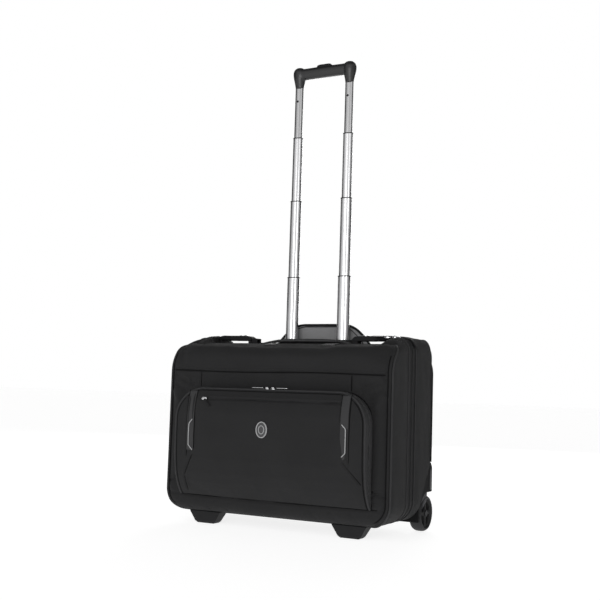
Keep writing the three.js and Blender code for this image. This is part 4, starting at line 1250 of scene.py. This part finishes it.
def make_pocket_trim():
    path = pocket_path(POCKET_LOW)
    outs = np.stack((path[:, 2], path[:, 0] * 0, path[:, 3]), -1)
    rim = np.stack((path[:, 0], rim_y(path) - 1.2, path[:, 1]), -1)
    pocket_piece("pocket_piping", *sweep(rim, circle(2.3, 10), outs), "pocket_flap", "piping")
    # A very dark cord in the groove just inside the pocket's piping: painted shade in that groove.
    groove = rim - outs * 4.6
    groove[:, 1] = flap_y(groove[:, 0], groove[:, 2]) + 0.2
    pocket_piece("pocket_groove_shade_cord", *sweep(groove, circle(1.2, 8), outs), "pocket_flap", "seam")
    # A very dark cord round the pocket's foot, where its side meets the front panel: a seam, with painted
    # shadow between the two parts.
    edge = np.stack((path[:, 0], np.full(len(path), FRONT_Y - 1.2), path[:, 1]), -1) + outs * 1.6
    pocket_piece("pocket_base_seam_shade", *sweep(edge, circle(1.5, 8), outs), "front_case", "seam")
    run = path[:, 1] > 98
    u_path = path[run]
    outs = outs[run]
    for name, sign, body in (
        ("pocket_coil_inner", 1, "front_case"), ("pocket_coil_outer", -1, "pocket_flap")
    ):
        y = split_y(u_path[:, 1]) + sign * 1.5
        line = np.stack((u_path[:, 0], y, u_path[:, 1]), -1) + outs * 0.9
        pocket_piece(name, *swap_teeth(line, outs, sign), body, "pale_coil")
    for sign in (-1, 1):
        make_band(sign)
    stitched = (FLAP_SEAMS[0], FLAP_SEAMS[1])
    # Very dark cords laid in the sewn lines of the pocket's face: painted shade in their folds.
    cords = []
    for (x0, z0), (x1, z1) in FLAP_SEAMS:
        t = np.linspace(0, 1, 40)
        x, z = x0 + (x1 - x0) * t, z0 + (z1 - z0) * t
        cords.append(sweep(np.stack((x, flap_y(x, z) + 0.3, z), -1), circle(0.9, 8), (0, -1, 0)))
    pocket_piece("pocket_seam_shade_cords", *join_parts(cords), "pocket_flap", "seam")
    parts = []
    for (x0, z0), (x1, z1) in stitched:
        t = np.linspace(0, 1, 40)
        x, z = x0 + (x1 - x0) * t - 2.6, z0 + (z1 - z0) * t
        parts.append(beads(np.stack((x, flap_y(x, z) - 1.0, z), -1), (0, -1, 0), 2.2, 0.7, 0.35, 3.3))
    x = np.linspace(-168, 183, 120)
    z = np.full(120, SLIP_Z)
    slip = np.stack((x, flap_y(x, z) + 0.6, z), -1)
    pocket_piece(
        "slip_coil",
        *swap_teeth(slip, np.broadcast_to((0.0, -1.0, 0.0), slip.shape), 1),
        "pocket_flap",
        "coil",
    )
    for offset in (-5.5, 6.5):
        z = np.full(120, SLIP_Z + offset)
        parts.append(beads(np.stack((x, flap_y(x, z) - 1.1, z), -1), (0, -1, 0), 2.2, 0.7, 0.35, 3.3))
    pocket_piece("pocket_stitches", *join_parts(parts), "pocket_flap", "thread")


def make_band(sign):
    """A lighter ribbon down each side of the pocket's face, with a raised bracket-shaped trim."""
    z = np.linspace(166, 297, 60)
    t = np.linspace(0, 1, 9)
    low, high = BANDS[sign]
    zz, tt = np.meshgrid(z, t, indexing="ij")
    xx = low + (high - low) * tt
    yy = flap_y(xx, zz) - 1.2 - 0.7 * np.sin(math.pi * tt)
    sheet = np.stack((xx, yy, zz), -1)
    points, faces, _ = slab(sheet, 1.0 * outward_sign(sheet, (0, -1, 0)))
    side = "right" if sign > 0 else "left"
    pocket_piece(f"pocket_band_{side}", points, faces, "pocket_flap", "band")
    line = smooth_path(BRACKETS[sign], 1.2, rounds=1)
    y = flap_y(line[:, 0], line[:, 1]) - 2.2
    path = np.stack((line[:, 0], y, line[:, 1]), -1)
    pocket_piece(
        f"bracket_trim_{side}",
        *sweep(path, squircle(0.95, 0.6, 12, 2.6), (0, -1, 0)),
        "pocket_flap",
        "reflective",
    )


def make_badge():
    """A plain oval badge: a domed plate in a raised rim."""
    low, high = span("badge")
    half_x, half_z = (high[0] - low[0]) / 2 * 0.94, (high[2] - low[2]) / 2 * 0.9
    cz = (high[2] + low[2]) / 2
    turn = np.linspace(0, 2 * math.pi, 64, endpoint=False)
    oval = np.stack((np.cos(turn) * half_x, np.sin(turn) * half_z), -1)
    base_y = float(flap_y(np.array(0.0), np.array(cz))) - 1.2
    radii = np.linspace(0.002, 0.9, 12)
    dome = np.array(
        [[(ox * r, base_y - 1.6 - 0.8 * (1 - r * r), cz + oz * r) for ox, oz in oval]
        for r in radii]
    )
    grid = dome.transpose(1, 0, 2)
    points, faces, _ = slab(grid, 1.6 * outward_sign(grid, (0, -1, 0)), wrap_rows=True)
    make_piece("badge_plate", points, faces, "pocket_flap", "badge", ["badge"])
    ring = np.stack((oval[:, 0] * 0.95, np.full(64, base_y - 1.0), cz + oval[:, 1] * 0.95), -1)
    make_piece(
        "badge_rim",
        *sweep(ring, squircle(1.3, 1.9, 12, 2.4), (0, -1, 0), closed=True),
        "pocket_flap",
        "reflective",
        ["badge"],
    )
    bead = np.stack((oval[:, 0] * 0.5, np.full(64, base_y - 2.2), cz + oval[:, 1] * 0.5), -1)
    make_piece(
        "badge_bead",
        *sweep(bead, circle(0.9, 8), (0, -1, 0), closed=True),
        "pocket_flap",
        "reflective",
        ["badge"],
    )


# ---------------------------------------------------------------- hardware
def relaxed(mesh, voxel, rounds, factor=0.5):
    """A mesh made even all over, then smoothed: points in millimetres, and faces."""
    work = bpy.data.objects.new("work", mesh)
    bpy.context.scene.collection.objects.link(work)
    remesh = work.modifiers.new("remesh", "REMESH")
    remesh.mode = "VOXEL"
    remesh.voxel_size = voxel * MM
    relax = work.modifiers.new("relax", "SMOOTH")
    relax.iterations = rounds
    relax.factor = factor
    bpy.context.view_layer.update()
    result = work.evaluated_get(bpy.context.evaluated_depsgraph_get()).to_mesh()
    points = np.empty(len(result.vertices) * 3)
    result.vertices.foreach_get("co", points)
    faces = [list(p.vertices) for p in result.polygons]
    bpy.data.objects.remove(work)
    return points.reshape(-1, 3) / MM, faces


def softened(node, name, look, voxel, rounds, body, shift=(0, 0, 0)):
    """A hard part with worn, rounded edges, from the CAD part's own mesh."""
    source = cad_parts[node]
    mesh = source.data.copy()
    mesh.transform(source.matrix_world)
    points, faces = relaxed(mesh, voxel, rounds)
    return make_piece(name, points + shift, faces, body, look, [node])


def moulded(name, parts, look, voxel, rounds, body, replaces):
    """Overlapping solids fused into one smooth moulding."""
    points, faces = join_parts(parts)
    mesh = bpy.data.meshes.new("parts")
    mesh.from_pydata((np.asarray(points) * MM).tolist(), [], [list(map(int, f)) for f in faces])
    points, faces = relaxed(mesh, voxel, rounds)
    return make_piece(name, points, faces, body, look, replaces)


def tube_section(half_w, half_d, groove=0.8):
    """An oval-cornered tube with a shallow drawn groove down its front face, seen from above."""
    outline = squircle(half_w, half_d, 96, 2.9)
    hollow = np.exp(-(((outline[:, 0] - 0.32 * half_w) / 3.0) ** 2)) * (outline[:, 1] < 0)
    outline[:, 1] += hollow * groove
    return outline


def make_tube(node, body, look="aluminium", wall=1.2):
    low, high = span(node)
    cx, cy = (low[0] + high[0]) / 2, (low[1] + high[1]) / 2
    half_w, half_d = (high[0] - low[0]) / 2, (high[1] - low[1]) / 2
    top = high[2]
    levels = np.concatenate(([low[2]], np.linspace(low[2] + 1, top - 1, 24), [top - 0.3, top]))
    rings = []
    for k, z in enumerate(levels):
        shrink = 0.3 if k in (0, len(levels) - 1) else 0.0
        section = tube_section(half_w - shrink, half_d - shrink)
        rings.append(np.stack((cx + section[:, 0], cy + section[:, 1], np.full(len(section), z)), -1))
    inner = tube_section(half_w - wall, half_d - wall)
    for z in (top, low[2]):
        rings.append(np.stack((cx + inner[:, 0], cy + inner[:, 1], np.full(len(inner), z)), -1))
    grid = np.array(rings)
    faces = grid_faces(len(rings), grid.shape[1], True, True)
    return sharpen(make_piece(f"{node}_drawn", grid.reshape(-1, 3), faces, body, look, [node]))


def make_rivet(node, body):
    """A small domed rivet on the front of the last tube, under the grip."""
    low, high = span(node)
    profile = ((0.0, 0.0), (2.9, 0.0), (2.9, 0.3), (2.2, 0.44), (1.0, 0.5), (0.0, 0.5))
    points, faces = lathe(np.array(profile), (0, 0, 0), 24)
    turned = np.stack((points[:, 1], -points[:, 0], points[:, 2]), -1)
    spot = ((low[0] + high[0]) / 2 - 1.5, low[1] + 0.3, high[2] - 46)
    make_piece(f"{node}_rivet", turned + spot, faces, body, "steel")


def make_handle_tubes():
    stages = (
        ("base_tube", "rear_case"),
        ("tube_a", "stage_a"),
        ("tube_b", "stage_b"),
        ("tube_c", "stage_c"),
        ("tube_d", "grip"),
    )
    for side, sign in SIDES:
        for prefix, body in stages:
            node = f"{prefix}_{side}"
            make_tube(node, body, "aluminium_thin" if prefix == "tube_d" else "aluminium")
            if prefix == "tube_d":
                make_rivet(node, body)
            elif prefix != "base_tube":
                make_lock_marks(node, body)
        for prefix, body in (("lip_a", "stage_a"), ("lip_b", "stage_b"), ("lip_c", "stage_c")):
            make_lip(f"{prefix}_{side}", body)


def make_lock_marks(node, body):
    """Two spring-pin holes on the outer side of a tube below its rim."""
    low, high = span(node)
    profile = np.array(((0.0, -0.6), (2.4, -0.6), (2.4, 0.04), (1.9, 0.12), (0.0, 0.12)))
    spots = [(high[0], (low[1] + high[1]) / 2, high[2] - below) for below in (20, 43)]
    make_piece(f"{node}_locks", *join_parts([lathe(profile, spot, 20) for spot in spots]), body, "plastic")


def make_lip(node, body):
    low, high = span(node)
    cx, cy = (low[0] + high[0]) / 2, (low[1] + high[1]) / 2
    half_w, half_d = (high[0] - low[0]) / 2, (high[1] - low[1]) / 2
    profile = ((0, 0.0), (0.0, 1.0), (-0.5, 1.6), (-1.9, 1.7))
    rings = []
    for grow, rise in profile:
        section = tube_section(half_w + grow, half_d + grow)
        rings.append(
            np.stack((cx + section[:, 0], cy + section[:, 1], np.full(len(section), low[2] + rise)), -1)
        )
    hole = tube_section(half_w - 2.0, half_d - 2.0)
    rings.append(np.stack((cx + hole[:, 0], cy + hole[:, 1], np.full(len(hole), low[2])), -1))
    grid = np.array(rings)
    faces = grid_faces(len(rings), grid.shape[1], True, True)
    sharpen(make_piece(f"{node}_moulded", grid.reshape(-1, 3), faces, body, "plastic", [node]))


# Height, half width and half depth of a grip's socket, from its mouth to its top.
SOCKET = (
    (1041.0, 10.2, 7.6),
    (1047.0, 10.8, 8.8),
    (1055.0, 12.2, 11.0),
    (1064.0, 14.2, 13.2),
    (1073.0, 15.8, 14.6),
    (1081.0, 16.0, 14.6),
    (1088.0, 13.6, 12.2),
    (1092.5, 8.0, 8.0),
)


def make_grip():
    low, high = span("grip_body")
    cy = (low[1] + high[1]) / 2
    post = span("tube_d_right")
    post_x = (post[0][0] + post[1][0]) / 2
    parts = []
    for sign in (-1, 1):
        levels = np.array(SOCKET)
        path = np.array([(sign * post_x, cy, z) for z in levels[:, 0]])
        sections = np.array([squircle(d, w, 32, 2.3) for w, d in levels[:, 1:]])
        parts.append(sweep(path, sections, (1, 0, 0)))
    x = np.linspace(-post_x, post_x, 40)
    path = np.stack((x, np.full(40, cy), 1075.6 + 0.8 * np.cos(x / 45)), -1)
    girth = 14.0 + 0.8 * (x / post_x) ** 6
    parts.append(sweep(path, np.array([squircle(12.8, g, 32, 2.05) for g in girth]), (0, 0, 1)))
    moulded("grip_shell", parts, "grip", 1.2, 9, "grip", ["grip_body"])
    softened("grip_button", "grip_push", "plastic", 0.8, 12, "grip_button", shift=(0, 0, -1.6))


def make_wheels():
    low, high = span("tyre_right")
    cy, cz = (low[1] + high[1]) / 2, (low[2] + high[2]) / 2
    radius = (high[2] - low[2]) / 2
    x0, x1 = low[0] + 2, high[0] + 4.5
    middle = (x0 + x1) / 2
    half = (x1 - x0) / 2
    for side, sign in SIDES:
        turn = np.linspace(-1, 1, 19)
        crown = radius - 0.1 - 5.5 * np.abs(turn) ** 3.2
        tread = [(r, t * half) for r, t in zip(crown, np.clip(turn * 1.05, -1, 1))]
        inner = span("hub_right")[1][2] - cz + 0.3
        side_wall = [(inner, half - 1.5), (inner, -half + 1.5)]
        profile = np.array(tread + side_wall)
        profile[:, 1] = sign * (middle + profile[:, 1])
        make_piece(
            f"tyre_tread_{side}", *lathe(profile, (0, cy, cz), 96), f"wheel_{side}", "tyre", [f"tyre_{side}"]
        )
        outwards = (sign * 4.5, 0, 0)
        softened(f"hub_{side}", f"hub_moulding_{side}", "hub", 0.75, 4, f"wheel_{side}", shift=outwards)
        softened(f"axle_{side}", f"axle_pin_{side}", "steel", 0.6, 3, "rear_case", shift=outwards)
        softened(f"wheel_housing_{side}", f"corner_guard_{side}", "guard", 1.3, 5, "rear_case")
        housing_low, housing_high = span(f"wheel_housing_{side}")
        # A raised rib at the rear of each guard, in the much lighter plastic: a painted highlight along that
        # edge.
        strip = prism(rounded_rectangle(5.5, 23, 3.5), "x", 0, 3.2, 1.2)
        rear = (sign * (max(abs(housing_low[0]), abs(housing_high[0])) - 1.5), housing_high[1] - 10.5, 114)
        points = strip[0] * (sign, 1, 1) + rear
        make_piece(f"guard_highlight_strip_{side}", points, strip[1], "rear_case", "guard_highlight")
        softened(f"foot_{side}", f"foot_moulding_{side}", "plastic", 1.0, 5, "front_case")


CLIP_SHIFT = {"left": (-17.0, 0.0, -6.0), "right": (5.0, 0.0, -6.0)}


def make_straps():
    """Webbing sewn to each shoulder, with a clip whose hooked end rests on the top of the case."""
    shoulder = half_loop(38.0, CREST, 2.5, 1)
    ahead = np.gradient(shoulder, axis=0)
    out = np.stack((ahead[:, 1], -ahead[:, 0]), -1) / np.linalg.norm(ahead, axis=1, keepdims=True)
    hug = (shoulder[:, 1] > 402) & (shoulder[:, 0] > 238)
    for side, sign in SIDES:
        low, high = span(f"end_strap_{side}")
        cy, half = (low[1] + high[1]) / 2, (high[1] - low[1]) / 2
        line = shoulder[hug] + out[hug] * 3.6
        level = np.array([(232, CREST - 0.2), (222, 425.2), (212, 424.4), (198, 424.2), (165, 424.2)])
        line = np.concatenate((line, level))
        ups = np.concatenate((out[hug], [(0, 1)] * len(level)))
        path = np.stack((line[:, 0], np.full(len(line), cy), line[:, 1]), -1) * (sign, 1, 1)
        up = np.stack((ups[:, 0], np.zeros(len(ups)), ups[:, 1]), -1) * (sign, 1, 1)
        fine = resample(np.concatenate((path, up), 1), 1.5)
        thick = 1.6 + 4.6 * (1 - smoothstep(np.abs(fine[:, 0]), 214, 238))
        section = np.array([squircle(half, t, 36, 3.4) for t in thick])
        webbing = sweep(fine[:, :3], section, fine[:, 3:])
        make_piece(f"strap_webbing_{side}", *webbing, f"strap_{side}", "webbing", [f"end_strap_{side}"])
        shift = np.array(CLIP_SHIFT[side])
        softened(f"strap_clip_{side}", f"clip_{side}", "plastic", 0.8, 4, f"strap_{side}", shift=shift)
        softened(f"strap_loop_{side}", f"loop_{side}", "plastic", 0.6, 3, "rear_case")
        end = span(f"strap_clip_{side}")[0 if sign > 0 else 1][0] + shift[0]
        hook = prism(rounded_rectangle(4.5, half - 2, 2), "z", 411.8, 425, 1.0)
        make_piece(
            f"clip_hook_{side}", hook[0] + (end + sign * 6, cy, 0), hook[1], f"strap_{side}", "plastic"
        )
        glints = []
        for x, z, reach in ((22, 432.6, 1.6), (34, 432.4, 1.0), (50, 430.6, 1.4)):
            points, faces = prism(squircle(reach, half - 2.5, 16, 3), "z", z - 3.4, z - 1.2, 0.4, 2)
            glints.append((points + (end + sign * x, cy, 0), faces))
        make_piece(f"clip_glints_{side}", *join_parts(glints), f"strap_{side}", "nickel")


def make_carry_handle():
    low, high = span("carry_handle")
    cy = (low[1] + high[1]) / 2
    half = (high[1] - low[1]) / 2
    knots = [
        (-121, 409.6),
        (-113, 411.8),
        (-98, 415.4),
        (-76, 418.8),
        (-50, 420.0),
        (0, 420.2),
        (50, 420.0),
        (80, 419.2),
        (98, 416.6),
        (112, 413.0),
    ]
    line = smooth_path(knots, 2.0, rounds=2)
    thick = 1.8 + 2.2 * (1 - smoothstep(np.abs(line[:, 0]), 48, 100))
    path = np.stack((line[:, 0], np.full(len(line), cy), line[:, 1]), -1)
    sections = np.array([squircle(half, t, 28, 2.6) for t in thick])
    # The pad wears the lightened pad look: painted light on its face.
    pad = make_piece("carry_pad", *sweep(path, sections, (0, 0, 1)), "carry_handle", "pad", ["carry_handle"])
    cords = []
    for drop in (0.55, -0.5):
        front = path + (0, -half * 0.96, 0)
        front[:, 2] += thick * drop
        cords.append(sweep(front, circle(0.8, 8), (0, 0, 1)))
    make_piece("carry_welts", *join_parts(cords), "carry_handle", "pale", ["carry_handle"])
    for start, end in ((-68, -42), (76, 108)):
        x, y = np.meshgrid(np.linspace(start, end, 24), np.linspace(-46, -14, 14), indexing="ij")
        z = TOP_FRONT + 2.3 + lift_at(x, y, np.full(x.shape, TOP_FRONT))
        sheet = np.stack((x, y, z), -1)
        points, faces, _ = slab(sheet, 1.4 * outward_sign(sheet, (0, 0, 1)))
        make_piece(f"top_patch_{'left' if start < 0 else 'right'}", points, faces, "front_case", "pale")
    parts = []
    for sign in (-1, 1):
        legs = ((2.6, 7.6, 414), (2.8, 11.6, 389.6))
        for half_x, half_y, top in legs:
            points, faces = prism(rounded_rectangle(half_x, half_y, 1.5), "z", 386, top, 0.4, 2)
            parts.append((points + (sign * 102, cy, 0), faces))
    make_piece("carry_legs", *join_parts(parts), "carry_handle", "webbing", ["carry_handle"])
    stitches = []
    for shift in (-half + 3, half - 3):
        top = path + (0, shift, 0)
        top[:, 2] += thick * 0.93
        stitches.append(beads(top, (0, 0, 1), 2.4, 0.8, 0.4, 3.6))
    make_piece("carry_stitches", *join_parts(stitches), "carry_handle", "thread")


ARCH_MID = 5.0


def arch_outline():
    low, high = span("arch_flap")
    foot = low[2]
    half = high[0]
    knots = [(half, foot), (112, 428), (100, 440), (86, 452), (68, high[2] - 1.5), (50, high[2])]
    right = smooth_path(knots, 2.5, rounds=3)
    across = np.linspace(50, 0, 26)[1:]
    right = np.concatenate((right, np.stack((across, np.full(25, high[2])), -1)))
    left = right[:-1][::-1] * (-1, 1)
    return np.concatenate((right, left)), foot


def make_arch_flap():
    low, high = span("arch_flap")
    outline, foot = arch_outline()
    base = np.stack((np.linspace(-high[0], high[0], 60)[1:-1], np.full(58, foot)), -1)
    ring = np.concatenate((outline, base))
    centre = np.array((0, foot + 14))
    radii = np.linspace(0.0008, 1, 18)
    mid_y = (low[1] + high[1]) / 2
    sheets = []
    for sign in (-1, 1):
        xz = centre + (ring[None] - centre) * radii[:, None, None]
        puff = 3.4 * (1 - radii**4)[:, None] + wobble(xz[..., 0], xz[..., 1], 71, 60, 0.3)
        y = mid_y + sign * np.maximum(puff, 0.4)
        sheets.append(np.stack((xz[..., 0], y, xz[..., 1]), -1).transpose(1, 0, 2))
    parts = []
    for grid in sheets:
        parts.append((grid.reshape(-1, 3), grid_faces(*grid.shape[:2], True)))
    points, faces = join_parts(parts)
    points = points + (ARCH_MID, 0, 0)
    mask = np.zeros(len(faces), bool)
    mask[: len(parts[0][1])] = True
    body = make_piece(
        "arch_pad", points, faces, "rear_case", "fabric", ["arch_flap"], [("flap_lining", mask)]
    )
    line = np.stack((outline[:, 0] + ARCH_MID, np.full(len(outline), mid_y), outline[:, 1]), -1)
    make_piece("arch_piping", *sweep(line, circle(3.0, 10), (0, 1, 0)), "rear_case", "webbing", ["arch_flap"])
    xz = centre + (outline - centre) * 0.87
    inner = np.stack((xz[:, 0] + ARCH_MID, np.full(len(xz), mid_y - 3.4), xz[:, 1]), -1)
    make_piece("arch_welt", *sweep(inner, circle(0.9, 8), (0, 1, 0)), "rear_case", "webbing")


def small_casting(node, name):
    """A slider or its pull tab, cast in metal, which is a body of its own."""
    softened(node, name, "nickel", 0.45, 3, node)


def make_sliders():
    for side, _ in SIDES:
        for kind in ("main", "pocket"):
            small_casting(f"{kind}_slider_{side}", f"{kind}_slider_cast_{side}")
            small_casting(f"{kind}_pull_{side}", f"{kind}_pull_{side}_pressed")
    low, high = span("slip_slider")
    cx, back = (low[0] + high[0]) / 2, high[1]
    body = prism(squircle(6.5, 3.4, 28, 3.2), "y", back - 4.5, back - 0.5, 1.0)
    bridge = prism(squircle(3.2, 1.4, 20, 3.0), "y", back - 6.3, back - 4.0, 0.5)
    parts = [(points + (cx, 0, SLIP_Z), faces) for points, faces in (body, bridge)]
    make_piece("slip_slider_cast", *join_parts(parts), "slip_slider", "nickel", ["slip_slider"])
    t = np.linspace(0, 1, 14)[:, None]
    start, end = np.array((cx + 2, back - 6.2, SLIP_Z - 1)), np.array((cx + 15, back - 4.6, SLIP_Z - 16))
    cord = start * (1 - t) + end * t
    make_piece(
        "slip_pull_cord", *sweep(cord, squircle(2.4, 1.1, 14, 2.6), (0, -1, 0)), "slip_slider", "webbing"
    )


def make_back():
    """The padded back panel and the ribbed kick plate."""
    low, high = span("back_panel")
    ring = rounded_rectangle((high[0] - low[0]) / 2, (high[2] - low[2]) / 2, 28, 10)
    ring = resample(ring, 4, closed=True)
    cz = (high[2] + low[2]) / 2
    radii = np.linspace(0.0008, 1, 40)
    xz = ring[None] * radii[:, None, None]
    edge = (1 - radii)[:, None] * 120
    quilt = 3.6 * (1 - np.exp(-edge / 7)) * np.ones(len(ring))
    for x in (-100, 0, 100):
        quilt = quilt + dent(xz[..., 0] - x, 3.0, 1.6) * np.clip(edge / 20, 0, 1)
    y = high[1] - 4.0 + quilt
    grid = np.stack((xz[..., 0], y, xz[..., 1] + cz), -1).transpose(1, 0, 2)
    points, faces, _ = slab(grid, 2.0 * outward_sign(grid, (0, 1, 0)), wrap_rows=True)
    pad = make_piece("back_pad", points, faces, "rear_case", "fabric", ["back_panel"])
    line = np.stack((ring[:, 0], np.full(len(ring), low[1] + 1.2), ring[:, 1] + cz), -1)
    make_piece("back_pad_piping", *sweep(line, circle(1.8, 8), (0, 1, 0), closed=True), "rear_case", "piping")
    low, high = span("kick_plate")
    plate = prism(
        rounded_rectangle((high[0] - low[0]) / 2, (high[2] - low[2]) / 2, 8), "y", low[1], high[1] - 1.5, 1.2
    )
    parts = [(plate[0] + (0, 0, (low[2] + high[2]) / 2), plate[1])]
    for k in range(-6, 7):
        rib = prism(squircle(3.0, 20, 24, 4), "y", high[1] - 2.0, high[1], 0.8)
        parts.append((rib[0] + (k * 32, 0, (low[2] + high[2]) / 2), rib[1]))
    make_piece("kick_plate_ribbed", *join_parts(parts), "rear_case", "plastic", ["kick_plate"])


def make_inside():
    """The lined channel round the handle tubes, and the plates that hold them."""
    low, high = span("trolley_cover")
    path = [
        (low[0] + 1, high[1]), (low[0] + 1, low[1] + 1), (high[0] - 1, low[1] + 1), (high[0] - 1, high[1])
    ]
    line = smooth_path(path, 3.0, rounds=2)
    z = np.linspace(low[2], high[2], 80)
    grid = np.stack(
        (
            np.repeat(line[:, None, 0], 80, 1),
            np.repeat(line[:, None, 1], 80, 1) + wobble(line[:, None, 0], z[None], 81, 80, 0.5),
            np.repeat(z[None], len(line), 0),
        ),
        -1,
    )
    points, faces, _ = slab(grid, 1.6 * outward_sign(grid, (0, -1, 0)))
    make_piece("trolley_sleeve", points, faces, "rear_case", "lining", ["trolley_cover"])
    softened("tube_bracket", "tube_clamp", "plastic", 1.6, 3, "rear_case")
    softened("handle_bezel", "bezel_moulding", "plastic", 0.9, 3, "rear_case")
    for side, _ in SIDES:
        softened(f"handle_anchor_{side}", f"anchor_{side}", "plastic", 0.6, 2, "rear_case")



make_camera()
make_studio()
make_front_shell()
make_rear_shell()
make_piping()
make_zip_band()
make_spine()
make_pocket()
make_badge()
make_handle_tubes()
make_grip()
make_wheels()
make_straps()
make_carry_handle()
make_arch_flap()
make_sliders()
make_back()
make_inside()
